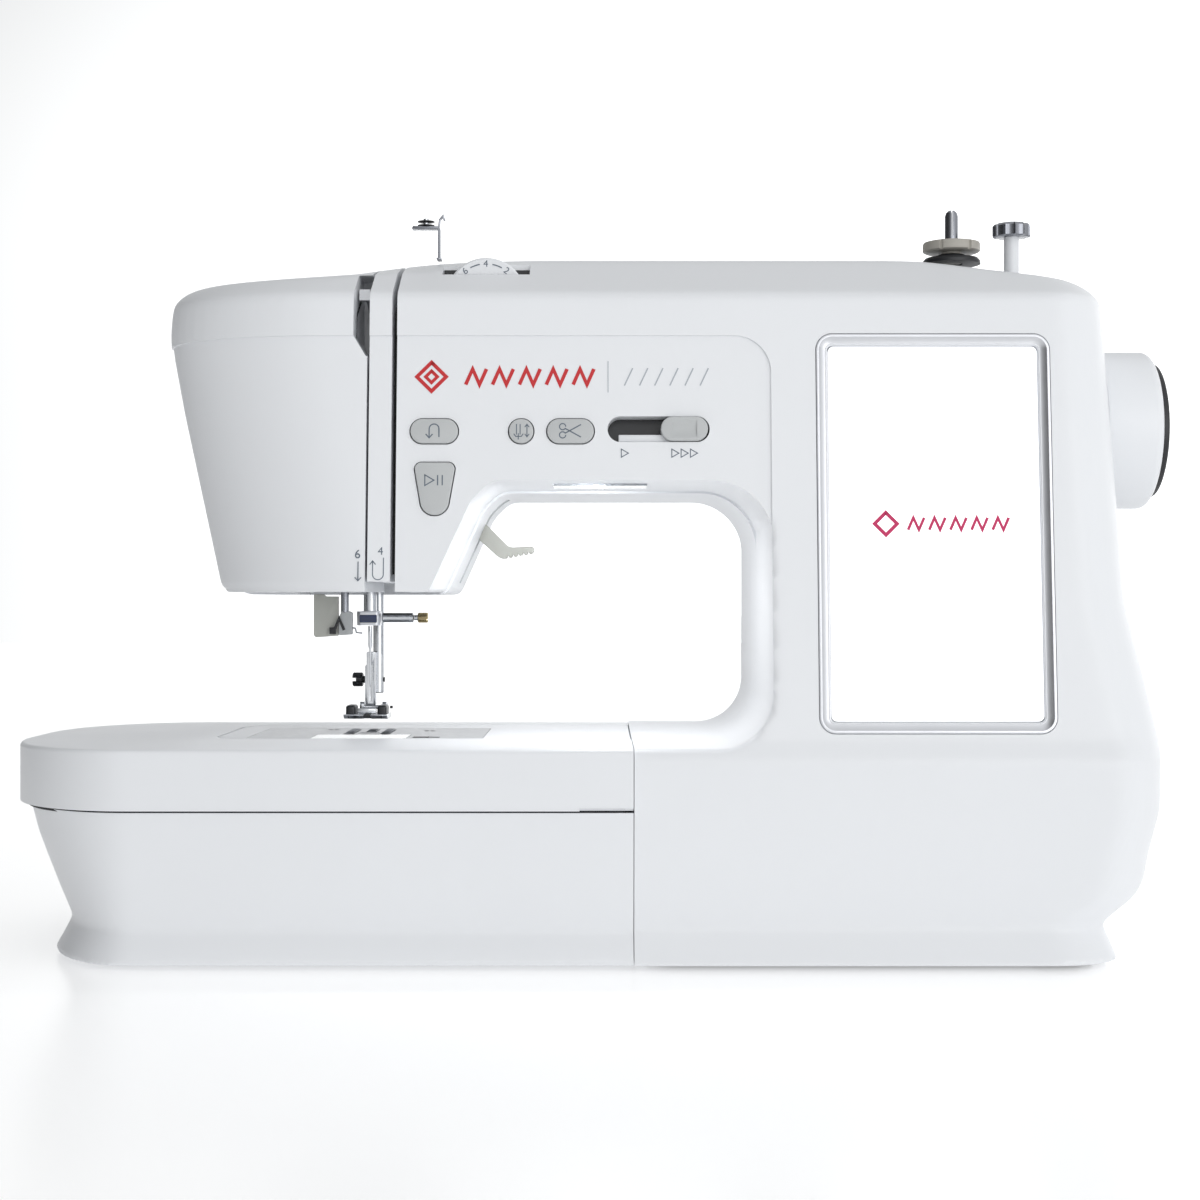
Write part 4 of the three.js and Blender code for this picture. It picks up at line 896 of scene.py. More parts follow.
def free_arm():
    corners = [
        (ARM_LOW[0], ARM_LOW[1], 20),
        (ARM_HIGH[0], ARM_LOW[1], 0),
        (ARM_HIGH[0], ARM_HIGH[1], 0),
        (ARM_LOW[0], ARM_HIGH[1], 20),
    ]
    outer = bevel(prism("z", outline(corners), ARM_LOW[2], BED), 1.2, 4)
    inner = prism("z", outline(corners, 3.4), ARM_LOW[2] + 3.4, BED - 3.4)
    open_end = block(
        SEAM_X - 8, SEAM_X + 5, ARM_LOW[1] + 3.4, ARM_HIGH[1] - 3.4, ARM_LOW[2] + 3.4, BED - 3.4
    )
    cut(outer, inner, open_end)
    low, high = span("needle_plate")
    seat = prism(
        "z",
        outline(rounded(low[0] - 0.25, high[0] + 0.25, low[1] - 0.25, high[1] + 0.25, 3)),
        low[2] - 0.3,
        BED + 1,
    )
    through = block(low[0] + 5, high[0] - 5, low[1] + 1, high[1] - 5, BED - 6, BED + 1)
    cut(outer, seat, through)
    finish_piece(outer, "free_arm_moulding", "machine", "white_plastic", WHITE, "free_arm_cover")


# ---- controls on the leaning face ----
def stroke(path, width):
    """Closed outline of a line drawn through the points with that width."""
    points = [Vector(p) for p in path]
    sides = []
    for i, here in enumerate(points):
        into = (here - points[i - 1]).normalized() if i else None
        away = (points[i + 1] - here).normalized() if i + 1 < len(points) else None
        into, away = into or away, away or into
        first, second = Vector((-into.y, into.x)), Vector((-away.y, away.x))
        miter = (first + second) / max(0.35, 1 + first.dot(second))
        sides.append((here + miter * width / 2, here - miter * width / 2))
    return [a for a, _ in sides] + [b for _, b in reversed(sides)]


def arc(x, y, radius, start, end, steps=12):
    turn = math.radians(end - start)
    first = math.radians(start)
    return [
        (x + radius * math.cos(first + turn * k / steps), y + radius * math.sin(first + turn * k / steps))
        for k in range(steps + 1)
    ]


def merge(name, objects):
    """Several solids kept as one piece."""
    bm = bmesh.new()
    for obj in objects:
        bm.from_mesh(obj.data)
        bpy.data.objects.remove(obj)
    return mesh_object(name, bm)


def ink_on_face(name, lines, low, look, body="machine", slot="white_plastic", centre=(0, 0), thick=0.12):
    """Printed lines, each (path, width), lying on the leaning face at that height."""
    solids = []
    for path, width in lines:
        shape = [(x + centre[0], y + centre[1]) for x, y in stroke(path, width)]
        solids.append(on_face(shape, low - 0.05, low + thick))
    return finish_piece(merge(name, solids), name, body, slot, look)


KEY_TOP = 0.3
ICONS = {
    "reverse_button": [
        ([(2.0, -2.6), (2.0, 0.8), *arc(0, 0.8, 2.0, 0, 180), (-2.0, -2.4)], 0.5),
        ([(-3.4, -1.3), (-2.0, -2.9), (-0.6, -1.3)], 0.5),
    ],
    "needle_position_button": [
        ([(-1.9, 2.8), (-1.9, -1.6)], 0.4),
        ([(-0.4, 2.8), (-0.4, -1.6)], 0.4),
        ([(-3.0, -1.2), (-2.2, -2.3), (0.1, -2.3), (0.9, -1.2)], 0.4),
        ([(-1.15, -1.0), (-1.15, -3.6)], 0.4),
        ([(2.4, 2.4), (2.4, -2.2)], 0.4),
        ([(1.5, 1.5), (2.4, 2.7), (3.3, 1.5)], 0.4),
        ([(1.5, -1.3), (2.4, -2.5), (3.3, -1.3)], 0.4),
    ],
    "thread_cutter_button": [
        (arc(-3.2, 1.7, 1.3, 0, 330), 0.45),
        (arc(-3.2, -1.7, 1.3, 30, 360), 0.45),
        ([(-2.2, 1.0), (4.3, -2.6)], 0.5),
        ([(-2.2, -1.0), (4.3, 2.6)], 0.5),
    ],
    "start_stop_button": [
        ([(-3.9, 2.4), (-3.9, -2.0), (-0.2, 0.2), (-3.9, 2.4), (-3.9, 1.8)], 0.45),
        ([(1.3, 2.3), (1.3, -1.9)], 0.5),
        ([(3.2, 2.3), (3.2, -1.9)], 0.5),
    ],
}


def controls():
    for node, (body, corners) in KEYS.items():
        cap = bevel(on_face(outline(corners, 0.3), -5.8, KEY_TOP), 0.45, 4)
        finish_piece(cap, node + "_cap", body, "button_plastic", KEY_GREY, node, angle=50)
        xs, ys = [c[0] for c in corners], [c[1] for c in corners]
        lift = 3.2 if node == "start_stop_button" else 0
        centre = ((min(xs) + max(xs)) / 2, (min(ys) + max(ys)) / 2 + lift)
        ink_on_face(node + "_icon", ICONS[node], KEY_TOP, INK, body, "button_plastic", centre, 0.04)
    x1 = SLIDER[1][0]
    low, high = SLIDER[0][1], SLIDER[2][1]
    # Black plate deep in the speed slot: painted shade where the slot falls into shadow.
    floor = on_face(outline(rounded(SLIDER[0][0] - 2, x1 + 2, low - 2, high + 2, 6)), -9.6, -8.6)
    finish_piece(floor, "speed_slot_painted_shade", "machine", "black_plastic", BLACK)
    sill = on_face(stroke([(SLIDER[0][0] + 4.5, low + 1.8), (x1 - 5, low + 1.8)], 3.0), -4.5, -2.6)
    finish_piece(bevel(sill, 0.4), "speed_slot_sill", "machine", "white_plastic", WHITE)
    knob_box = rounded(x1 - 20.3, x1 - 0.4, low, high, PILL)
    knob = bevel(on_face(outline(knob_box, 0.35), -7.5, 1.0), 0.5, 4)
    mid = (low + high) / 2
    saddle = prism(
        "x",
        [(mid + math.cos(t) * 9, 9.2 + math.sin(t) * 9) for t in (math.tau * k / 48 for k in range(48))],
        x1 - 15.2,
        x1 - 5.2,
        FACE,
    )
    cut(knob, saddle)
    finish_piece(knob, "speed_knob", "speed", "button_plastic", KEY_GREY, "speed_slider", angle=50)
    marks = []
    for x in (SLIDER[0][0] + 7.0, SLIDER[0][0] + 27.6, SLIDER[0][0] + 31.4, SLIDER[0][0] + 35.2):
        z = up(CONTROL_Z - 9)
        marks.append(
            (
                [
                    (x - 1.4, z + 1.7),
                    (x - 1.4, z - 1.7),
                    (x + 1.5, z),
                    (x - 1.4, z + 1.7),
                    (x - 1.4, z + 1.2),
                ],
                0.35,
            )
        )
    ink_on_face("speed_marks", marks, -RECESS, INK)


def zigzag(x0, x1, z, height, count):
    """Zigzag stitch line between two places."""
    step = (x1 - x0) / count
    return [(x0 + step * k, z + (height / 2 if k % 2 else -height / 2)) for k in range(count + 1)]


def printed_marks():
    """Generic stitch motifs and threading marks printed on the head and arm."""
    z = up(UNDERSIDE + 43.5)
    diamond = [
        (NEEDLE_X + 35 + dx, z + dz) for dx, dz in ((0, 6), (6, 0), (0, -6), (-6, 0), (0, 6), (1, 5))
    ]
    small = [
        (NEEDLE_X + 35 + dx, z + dz) for dx, dz in (
            (0, 2.4), (2.4, 0), (0, -2.4), (-2.4, 0), (0, 2.4), (0.5, 1.9)
        )
    ]
    ink_on_face("stitch_diamond", [(diamond, 1.5), (small, 1.3)], -RECESS, RED_INK)
    stitches = [
        (zigzag(NEEDLE_X + 49 + 11 * k, NEEDLE_X + 57.5 + 11 * k, z, 6.5, 3), 1.5) for k in range(5)
    ]
    ink_on_face("stitch_row", stitches, -RECESS, RED_INK)
    ink_on_face(
        "stitch_divider",
        [([(NEEDLE_X + 107.3, z - 6.5), (NEEDLE_X + 107.3, z + 6.5)], 0.35)],
        -RECESS,
        PALE_INK,
    )
    dashes = [
        ([(NEEDLE_X + 114 + 6.2 * k, z - 3.6), (NEEDLE_X + 117.4 + 6.2 * k, z + 3.6)], 0.55) for k in range(
            6
        )
    ]
    ink_on_face("stitch_dashes", dashes, -RECESS, PALE_INK)
    low = up(HEAD_BOTTOM + 5.4)
    x = NEEDLE_X + 5.8
    down = [
        ([(x, low + 7.8), (x, low)], 0.36), ([(x - 1.3, low + 1.4), (x, low), (x + 1.3, low + 1.4)], 0.36)
    ]
    ink_on_face("thread_down_arrow", down, -RECESS, INK)
    number("thread_step_6", "6", (x - 1.5, low + 9.2, -RECESS), 5.0)
    x = NEEDLE_X + 13.9
    turn = [
        (
            [
                (x - 2.2, low + 8),
                (x - 2.2, low + 2.6),
                *arc(x, low + 2.6, 2.2, 180, 360),
                (x + 2.2, low + 9.4),
            ],
            0.36,
        ),
        ([(x - 3.4, low + 6.6), (x - 2.2, low + 8.1), (x - 1.0, low + 6.6)], 0.36),
    ]
    ink_on_face("thread_turn_arrow", turn, -RECESS, INK)
    number("thread_step_4", "4", (x - 0.2, low + 10.6, -RECESS), 4.6)


def number(name, digit, place, size, frame_of=None, body="machine", slot="white_plastic"):
    """A plain digit printed on a surface."""
    curve = bpy.data.curves.new(name, "FONT")
    curve.body = digit
    curve.size = size * MM
    curve.extrude = 0.05 * MM
    text = bpy.data.objects.new(name, curve)
    bpy.context.scene.collection.objects.link(text)
    mesh = bpy.data.meshes.new_from_object(text.evaluated_get(bpy.context.evaluated_depsgraph_get()))
    bpy.data.objects.remove(text)
    spot = (frame_of or FACE) @ Matrix.Translation(place)
    mesh.transform(Matrix.Translation(spot.translation * MM) @ spot.to_3x3().to_4x4())
    obj = bpy.data.objects.new(name, mesh)
    bpy.context.scene.collection.objects.link(obj)
    return finish_piece(obj, name, body, slot, INK)


def rim_loft(name, corners, profile, place=FACE):
    """Closed frame whose section is a list of (inset, height)."""
    bm = bmesh.new()
    rings = []
    for inset, height in profile:
        points = outline(corners, inset)
        rings.append([bm.verts.new((place @ Vector((p[0], p[1], height))) * MM) for p in points])
    for lower, upper in zip(rings, rings[1:] + rings[:1]):
        for i in range(len(lower)):
            j = (i + 1) % len(lower)
            bm.faces.new((lower[i], lower[j], upper[j], upper[i]))
    return mesh_object(name, bm)


def screen():
    section = [
        (0.3, -4.6),
        (0.3, 0.05),
        (0.55, 0.38),
        (0.95, 0.48),
        (1.5, 0.42),
        (1.8, 0.1),
        (4.2, -0.75),
        (4.6, -0.8),
        (4.7, -1.0),
        (4.95, -1.05),
        (5.0, -4.6),
    ]
    bezel = rim_loft("bezel", BEZEL_OUT, section)
    finish_piece(bezel, "screen_bezel_frame", "machine", "satin_silver", SILVER, "screen_bezel", angle=30)
    lip = rim_loft("lip", BEZEL_OUT, [(4.15, -0.72), (4.25, -0.55), (4.5, -0.55), (4.6, -0.78)])
    finish_piece(lip, "screen_lip", "machine", "white_plastic", WHITE)
    glass = bevel(on_face(outline(BEZEL_IN, 0.15), -4.4, -1.12), 0.25, 2)
    finish_piece(glass, "screen_display", "machine", "screen_glass", SCREEN, "touch_screen")
    z = (SCREEN_LOW + SCREEN_TOP) / 2 + 3.5
    x = SCREEN_X - 20
    diamond = [
        (x + dx, z + dz) for dx, dz in ((0, 4.6), (4.6, 0), (0, -4.6), (-4.6, 0), (0, 4.6), (0.8, 3.8))
    ]
    lines = [(diamond, 1.5)] + [
        (zigzag(x + 9 + 8.6 * k, x + 15.6 + 8.6 * k, z, 5, 3), 1.2) for k in range(5)
    ]
    ink_on_face("screen_motif", lines, -1.12, MAGENTA_INK, "machine", "screen_glass", thick=0.03)


# ---- handwheel ----
def handwheel():
    low, high = span("handwheel")
    radius = (high[2] - low[2]) / 2
    inner = RIGHT - 29.5
    face = RIGHT - 3.5
    edge = [
        (radius - 4.2 + 4.2 * math.cos(t), face - 4.2 + 4.2 * math.sin(t)) for t in (
            math.pi / 2 * k / 10 for k in range(11)
        )
    ]
    profile = [
        (5.4, low[0]),
        (7.9, low[0]),
        (7.9, inner),
        (radius - 3.2, inner),
        (radius - 1.4, inner + 0.4),
        (radius - 0.3, inner + 1.4),
        (radius, inner + 2.8),
        *edge,
        (5.4, face),
    ]
    wheel = turned("x", profile, (0, NEEDLE_Y, SHAFT_Z), 128)
    finish_piece(wheel, "handwheel_rim", "drive", "white_plastic", WHITE, "handwheel", angle=30)
    cap_radius = radius - 5.1
    dome = [
        (0, face + 0.3),
        (cap_radius, face + 0.3),
        (cap_radius, RIGHT - 1.3),
        (cap_radius - 0.5, RIGHT - 0.6),
        (cap_radius - 1.6, RIGHT - 0.2),
        (cap_radius * 0.6, RIGHT - 0.05),
        (0, RIGHT - 0.02),
    ]
    cap = turned("x", dome, (0, NEEDLE_Y, SHAFT_Z), 128)
    finish_piece(cap, "handwheel_end_cap", "drive", "black_plastic", BLACK, "handwheel_cap", angle=30)


# ---- needle and presser unit ----
def needle_unit():
    x, y = NEEDLE_X, NEEDLE_Y
    clamp = BED + 48.5

    def rod(radius, low, high, ease=0.4):
        return [
            (0, low),
            (radius - ease, low),
            (radius, low + ease),
            (radius, high - ease),
            (radius - ease, high),
            (0, high),
        ]

    low, high = span("needle_bar")
    bar = turned("z", rod(2.98, low[2], high[2]), (x, y, 0), 48)
    finish_piece(bar, "needle_bar_rod", "needle_carrier", "chrome", CHROME, "needle_bar", angle=30)
    body = prism("z", outline(rounded(x - 5.6, x + 5.0, y - 5.8, y + 4.2, 2.2)), clamp + 0.05, clamp + 6.4)
    neck = turned("z", rod(3.9, clamp + 6.3, clamp + 6.5, 0.05), (x, y, 0), 40)
    joined(body, neck)
    recess = prism("y", outline(rounded(x - 4.3, x + 3.7, clamp + 1.3, clamp + 4.9, 0.6)), y - 7, y - 5.3)
    cut(body, recess, turned("z", rod(3.3, clamp + 2, clamp + 9), (x, y, 0), 40))
    finish_piece(
        bevel(body, 0.35), "needle_clamp_block", "needle_carrier", "chrome", SILVER, "needle_clamp"
    )
    badge = prism("y", outline(rounded(x - 4.2, x + 3.6, clamp + 1.4, clamp + 4.8, 0.5)), y - 5.6, y - 5.2)
    finish_piece(badge, "needle_clamp_window", "needle_carrier", "black_plastic", DEEP_BLUE)
    stem = [
        (0, x + 5.4),
        (1.7, x + 5.4),
        (2.15, x + 5.9),
        (2.15, x + 19.5),
        (1.2, x + 20),
        (1.2, x + 21.6),
        (0, x + 21.6),
    ]
    head = [(0, x + 21.6), (1.9, x + 21.6), (2.3, x + 22), (2.3, x + 25.9), (1.9, x + 26.3), (0, x + 26.3)]

    def knurl(angle, radius, height):
        return -0.22 * (math.sin(angle * 20) > 0) if radius > 2.2 else 0

    screw = turned("x", stem, (0, y, clamp + 3.5), 64)
    finish_piece(
        screw, "needle_clamp_screw_stem", "clamp_screw", "chrome", CHROME, "needle_clamp_screw", angle=30
    )
    finish_piece(
        turned("x", head, (0, y, clamp + 3.5), 120, knurl),
        "needle_clamp_screw_head",
        "clamp_screw",
        "chrome",
        BRASS,
        angle=30,
    )
    band = block(x + 6.2, x + 19.2, y - 1.9, y + 0.4, clamp + 4.6, clamp + 5.6)
    finish_piece(bevel(band, 0.2), "needle_clamp_screw_stripe", "clamp_screw", "black_plastic", BLACK)
    tip = clamp - 28
    needle = [
        (0, tip),
        (0.18, tip + 1),
        (0.42, tip + 4),
        (0.45, clamp - 11),
        (0.95, clamp - 9.2),
        (0.98, clamp - 0.3),
        (0, clamp - 0.3),
    ]
    finish_piece(
        turned("z", needle, (x, y, 0), 24),
        "needle_shank",
        "needle_carrier",
        "chrome",
        CHROME,
        "needle",
        angle=30,
    )

    low, high = span("presser_bar")
    bar_x, bar_y = (low[0] + high[0]) / 2, (low[1] + high[1]) / 2
    rod_piece = turned("z", rod(2.5, BED + 17.5, high[2]), (bar_x, bar_y, 0), 48)
    finish_piece(rod_piece, "presser_bar_rod", "presser", "chrome", CHROME, "presser_bar", angle=30)
    view = [
        (bar_x - 5.6, BED + 11.9, 0.8),
        (bar_x - 0.7, BED + 11.9, 0.8),
        (bar_x - 0.7, BED + 36.4, 0.6),
        (bar_x - 4.9, BED + 36.4, 0.6),
        (bar_x - 4.9, BED + 30.6, 0.3),
        (bar_x - 5.6, BED + 29.9, 0.3),
    ]
    holder = prism("y", outline(view), bar_y - 5.4, bar_y - 1.4)
    joined(
        holder,
        prism(
            "y", outline(rounded(bar_x - 4.4, bar_x + 1.9, BED + 18, BED + 35.6, 1)), bar_y - 2, bar_y + 3.4
        ),
    )
    slit = block(bar_x - 3.5, bar_x - 2.7, bar_y - 6, bar_y - 5, BED + 14, BED + 29)
    cut(holder, slit)
    finish_piece(
        bevel(holder, 0.4), "presser_holder_block", "presser", "chrome", CHROME, "presser_foot_holder"
    )
    head = [(0, x - 9.2), (2.8, x - 9.2), (3.2, x - 8.8), (3.2, x - 5.0), (2.8, x - 4.6), (1.6, x - 4.6),
            (1.6, bar_x - 4.8), (0, bar_x - 4.8)]

    def coarse(angle, radius, height):
        return -0.35 * (math.sin(angle * 14) > 0) if radius > 3 else 0

    thumb = turned("x", head, (0, bar_y, BED + 23.6), 112, coarse)
    cut(thumb, block(x - 10, x - 7.6, bar_y - 4, bar_y + 4, BED + 22.8, BED + 24.4))
    finish_piece(
        thumb,
        "presser_holder_thumbscrew",
        "holder_screw",
        "black_plastic",
        BLACK,
        "foot_holder_screw",
        angle=30,
    )
    tip_end = turned(
        "x",
        [(0, bar_x + 1.5), (1.1, bar_x + 1.5), (1.1, bar_x + 2.9), (0, bar_x + 2.9)],
        (0, bar_y, BED + 23.6),
        24,
    )
    finish_piece(tip_end, "presser_holder_screw_tip", "presser", "black_plastic", BLACK, angle=30)

    side = [
        (y - 12.9, BED + 8.4, 0.4),
        (y - 9.5, BED + 6.75, 4),
        (y + 20.8, BED + 6.75, 1),
        (y + 20.8, BED + 8.9, 1),
        (y - 8.5, BED + 8.9, 4),
        (y - 12.6, BED + 8.95, 0.2),
    ]
    sole = prism("x", outline(side), x - 10.5, x + 8.9)
    cut(
        sole,
        prism("z", outline(rounded(x - 4, x + 4, y - 2, y + 2.4, 1.5)), BED, BED + 20),
        block(x - 1.6, x + 1.6, y - 15, y - 6, BED, BED + 20),
        block(x - 12, x - 7.2, y + 6, y + 22, BED, BED + 20),
        block(x + 5.6, x + 12, y + 6, y + 22, BED, BED + 20),
    )
    for at in (-4.2, 6):
        ear = prism(
            "x",
            outline(rounded(bar_y - 8.4, bar_y - 1.6, BED + 8.6, BED + 13.7, 1.6)),
            x + at - 0.9,
            x + at + 0.9,
        )
        joined(sole, ear)
    joined(
        sole,
        turned(
            "x",
            [(0, x - 4.6), (0.9, x - 4.6), (0.9, x + 6.4), (0, x + 6.4)],
            (0, bar_y - 5, BED + 11.2),
            24,
        ),
    )
    finish_piece(bevel(sole, 0.3, 2), "presser_foot_sole", "foot_sole", "chrome", CHROME, "presser_foot")
    toes = []
    for x0, x1 in ((x - 9.9, x - 5.6), (x + 4.2, x + 8.4)):
        toes.append(bevel(block(x0, x1, y - 9.6, y + 2, BED + 7.4, BED + 12.8), 1.1, 3))
    toes.append(bevel(block(x - 5.4, x + 4.0, y - 9.4, y - 7.6, BED + 7.2, BED + 8.8), 0.3, 2))
    toes.append(
        turned(
            "x",
            [(0, x + 8.3), (0.6, x + 8.3), (0.6, x + 9.5), (0, x + 9.5)],
            (0, bar_y - 5, BED + 11.2),
            20,
        )
    )
    finish_piece(merge("toes", toes), "presser_foot_toes", "foot_sole", "black_plastic", BLACK)
    bridge = bevel(block(x - 4.8, x + 3.6, y - 8.6, y - 6.4, BED + 9.0, BED + 11.4), 0.4, 2)
    finish_piece(bridge, "presser_foot_bridge", "foot_sole", "chrome", CHROME)

    plate_view = [(x - 24.1, BED + 43.2, 1.5), (x - 12.9, BED + 44, 0.6), (x - 12.9, BED + 61.6, 0.3),
                  (x - 18.4, BED + 61.6, 0.3), (x - 19.6, BED + 62.6, 0.3), (x - 24.1, BED + 62.6, 0.6)]
    plate = prism("y", outline(plate_view), y - 10.2, y - 8.9)
    finish_piece(
        bevel(plate, 0.3), "needle_threader_plate", "threader", "warm_plastic", WARM_GREY, "needle_threader"
    )
    rod_piece = turned("z", rod(1.8, BED + 54, BED + 95), (x - 10.1, y - 10.5, 0), 32)
    finish_piece(rod_piece, "needle_threader_rod", "threader", "chrome", CHROME_PAINTED_DARK, angle=30)
    head_view = [
        (x - 12.7, BED + 44.2, 0.8),
        (x - 6.6, BED + 44.6, 0.8),
        (x - 6.6, BED + 54.4, 1),
        (x - 8.1, BED + 55, 0.5),
        (x - 11.4, BED + 55, 0.6),
        (x - 12.7, BED + 52, 0.6),
    ]
    head = prism("y", outline(head_view), y - 12.2, y - 8.2)
    finish_piece(bevel(head, 0.4), "needle_threader_head", "threader", "button_plastic", KEY_GREY)
    hook_view = [
        (x - 15.2, BED + 46.2), (x - 14.2, BED + 47.4), (x - 12.4, BED + 51.8), (x - 10.2, BED + 46.6)
    ]
    hook = prism("y", stroke(hook_view, 1.2), y - 12.9, y - 12.1)
    joined(hook, block(x - 16.7, x - 13.9, y - 12.9, y - 11.2, BED + 44.8, BED + 47.8))
    finish_piece(bevel(hook, 0.2), "needle_threader_hook", "threader", "black_plastic", BLACK)
    wire_view = [(x - 6.9, BED + 47.6), (x - 5.4, BED + 47.4), (x - 4.9, BED + 45.5), (x - 2.2, BED + 45.2)]
    wire = prism("y", stroke(wire_view, 0.7), y - 11.2, y - 10.5)
    finish_piece(bevel(wire, 0.15), "needle_threader_wire", "threader", "chrome", CHROME_PAINTED_DARK)


def presser_lever():
    x, z = LEVER_LOW[0] + 5, UNDERSIDE - 12
    view = [
        (x - 4.8, z - 4.8, 3),
        (x + 5, z - 5.8, 3),
        (x + 17, z - 16.8, 5),
        (x + 32.8, z - 13.9, 2),
        (x + 32.8, z - 10.6, 1.4),
        (x + 21, z - 11.2, 5),
        (x + 7, z + 2.8, 3),
        (x, z + 5.8, 4),
        (x - 4.8, z + 3.8, 3),
    ]
    lever = prism("y", outline(view), LEVER_LOW[1] + 0.1, LEVER_HIGH[1] - 0.1)
    for k in range(5):
        at = x + 20.5 + 2.4 * k
        cut(
            lever,
            block(at - 0.45, at + 0.45, LEVER_LOW[1] - 1, LEVER_HIGH[1] + 1, z - 20, z - 15.2 + 0.45 * k),
        )
    finish_piece(
        bevel(lever, 0.7, 3), "presser_lever_arm", "lifter", "warm_plastic", WARM_GREY, "presser_lever"
    )


# ---- pieces on top ----
def top_pieces():
    def knurl(angle, radius, height):
        return -0.5 * (math.sin(angle * 40) > 0) if radius > dial_radius - 0.5 and abs(height) < 3.4 else 0

    dial_radius = (DIAL_HIGH[0] - DIAL_LOW[0]) / 2 - 0.1
    dial = turned(
        "y",
        [
            (0, -4.45),
            (dial_radius - 0.8, -4.45),
            (dial_radius - 0.1, -3.8),
            (dial_radius, -3.3),
            (dial_radius, 3.3),
            (dial_radius - 0.8, 4.45),
            (0, 4.45),
        ],
        (DIAL_X, DIAL_Y, DIAL_Z),
        240,
        knurl,
    )
    finish_piece(dial, "tension_thumbwheel", "dial", "white_plastic", WHITE, "tension_dial", angle=30)
    upright = Matrix.Rotation(math.pi / 2, 4, "X")
    for digit, lean in (("4", 0), ("6", -38), ("2", 38)):
        turn = Matrix.Rotation(math.radians(-lean), 4, "Y")
        spot = Matrix.Translation((DIAL_X, DIAL_Y - 4.5, DIAL_Z)) @ turn.inverted() @ upright
        number("tension_" + digit, digit, (-1.1, dial_radius - 4.0, 0), 4.0, spot, "dial")
    curves = [
        stroke(arc(DIAL_X, DIAL_Z, dial_radius - 2.8, first, first + 17), 0.45) for first in (62, 101)
    ]
    arcs = [prism("y", curve, DIAL_Y - 4.6, DIAL_Y - 4.4) for curve in curves]
    finish_piece(merge("tension_arcs", arcs), "tension_arcs", "dial", "white_plastic", INK)
    # Black sheet on the back wall of the dial slot: painted shade behind the thumbwheel.
    dark = block(DIAL_X - 18.2, DIAL_X + 18.2, DIAL_Y + 4.6, DIAL_Y + 5.15, DIAL_Z + 6, CREST - 6.6)
    finish_piece(dark, "tension_slot_painted_shade", "machine", "black_plastic", BLACK)

    low, high = span("thread_guide")
    x, y, z = NEEDLE_X + 34.2, FRONT + 70, CREST + 0.6
    path = [(x, z + 0.1), (x, z + 13.2), (x - 0.6, z + 14), (x - 11, z + 14.1), (x - 11.3, z + 13.4)]
    plate = prism("y", stroke(path, 1.1), y - 2.6, y + 2.6)
    foot = prism("y", outline(rounded(x - 1.1, x + 1.1, z, z + 0.8, 0.3)), y - 2.9, y + 2.9)
    spring = prism(
        "y",
        stroke([(x - 0.4, z + 13), (x + 0.2, z + 17.6), (x + 1.6, z + 19.3), (x + 2.2, z + 17.4)], 0.8),
        y - 1.3,
        y + 1.3,
    )
    joined(plate, foot, spring)
    finish_piece(
        bevel(plate, 0.2, 2), "bobbin_thread_guide", "machine", "chrome", CHROME_PAINTED_DARK, "thread_guide"
    )
    discs = [
        turned(
            "z",
            [
                (0, z + h),
                (3.7, z + h + 0.2 * s),
                (3.7, z + h + 0.5 * s),
                (1.2, z + h + 0.9 * s),
                (0, z + h + 0.9 * s),
            ],
            (x - 5.8, y, 0),
            48,
        )
        for h, s in ((14.8, 1), (17.2, -1))
    ]
    finish_piece(merge("discs", discs), "bobbin_thread_discs", "machine", "black_plastic", BLACK, angle=30)
    nut = turned(
        "z",
        [(0, z + 15.4), (1.2, z + 15.4), (1.2, z + 17.9), (0.9, z + 18.2), (0, z + 18.2)],
        (x - 5.8, y, 0),
        24,
    )
    finish_piece(nut, "bobbin_thread_stud", "machine", "chrome", CHROME, angle=30)

    at = (WINDER_X, WINDER_Y, 0)
    base = [
        (4.8, z), (12.6, z), (12.6, z + 1.2), (11.6, z + 2.4), (6.6, z + 3.0), (5.9, z + 4), (4.8, z + 4)
    ]
    finish_piece(
        turned("z", base, at, 96),
        "winder_carriage_base",
        "winder_carriage",
        "black_plastic",
        BLACK,
        "bobbin_winder_base",
        angle=30,
    )
    spindle = [
        (0, z + 0.3),
        (4.2, z + 0.3),
        (4.2, z + 5.2),
        (11.6, z + 5.2),
        (12.4, z + 5.6),
        (12.5, z + 6.4),
        (12.5, z + 8.6),
        (12.2, z + 9.3),
        (11.4, z + 9.5),
        (4.4, z + 9.5),
        (4.2, z + 9.2),
        (0, z + 9.2),
    ]

    def spokes(angle, radius, height):
        return -0.9 * (abs(math.sin(angle * 3)) < 0.12) if radius > 12 else 0

    seat = turned("z", spindle, at, 180, spokes)
    finish_piece(seat, "winder_seat", "winder", "steel", SEAT_BEIGE, "bobbin_winder_spindle", angle=30)
    post = turned(
        "z",
        [(0, z + 9), (2.9, z + 9), (2.9, z + 21), (2.4, z + 22.6), (1.3, z + 23.6), (0, z + 23.7)],
        at,
        48,
    )
    cut(post, block(WINDER_X - 0.4, WINDER_X + 0.4, WINDER_Y - 4, WINDER_Y + 4, z + 12, z + 25))
    finish_piece(post, "winder_spindle_post", "winder", "chrome", CHROME_PAINTED_DARK, angle=30)

    low, high = span("bobbin_winder_stop")
    stop_at = ((low[0] + high[0]) / 2, (low[1] + high[1]) / 2, 0)
    radius = (high[0] - low[0]) / 2

    def flutes(angle, r, height):
        return -0.9 * abs(math.sin(angle * 6)) ** 0.5 if r > radius - 1.2 else 0

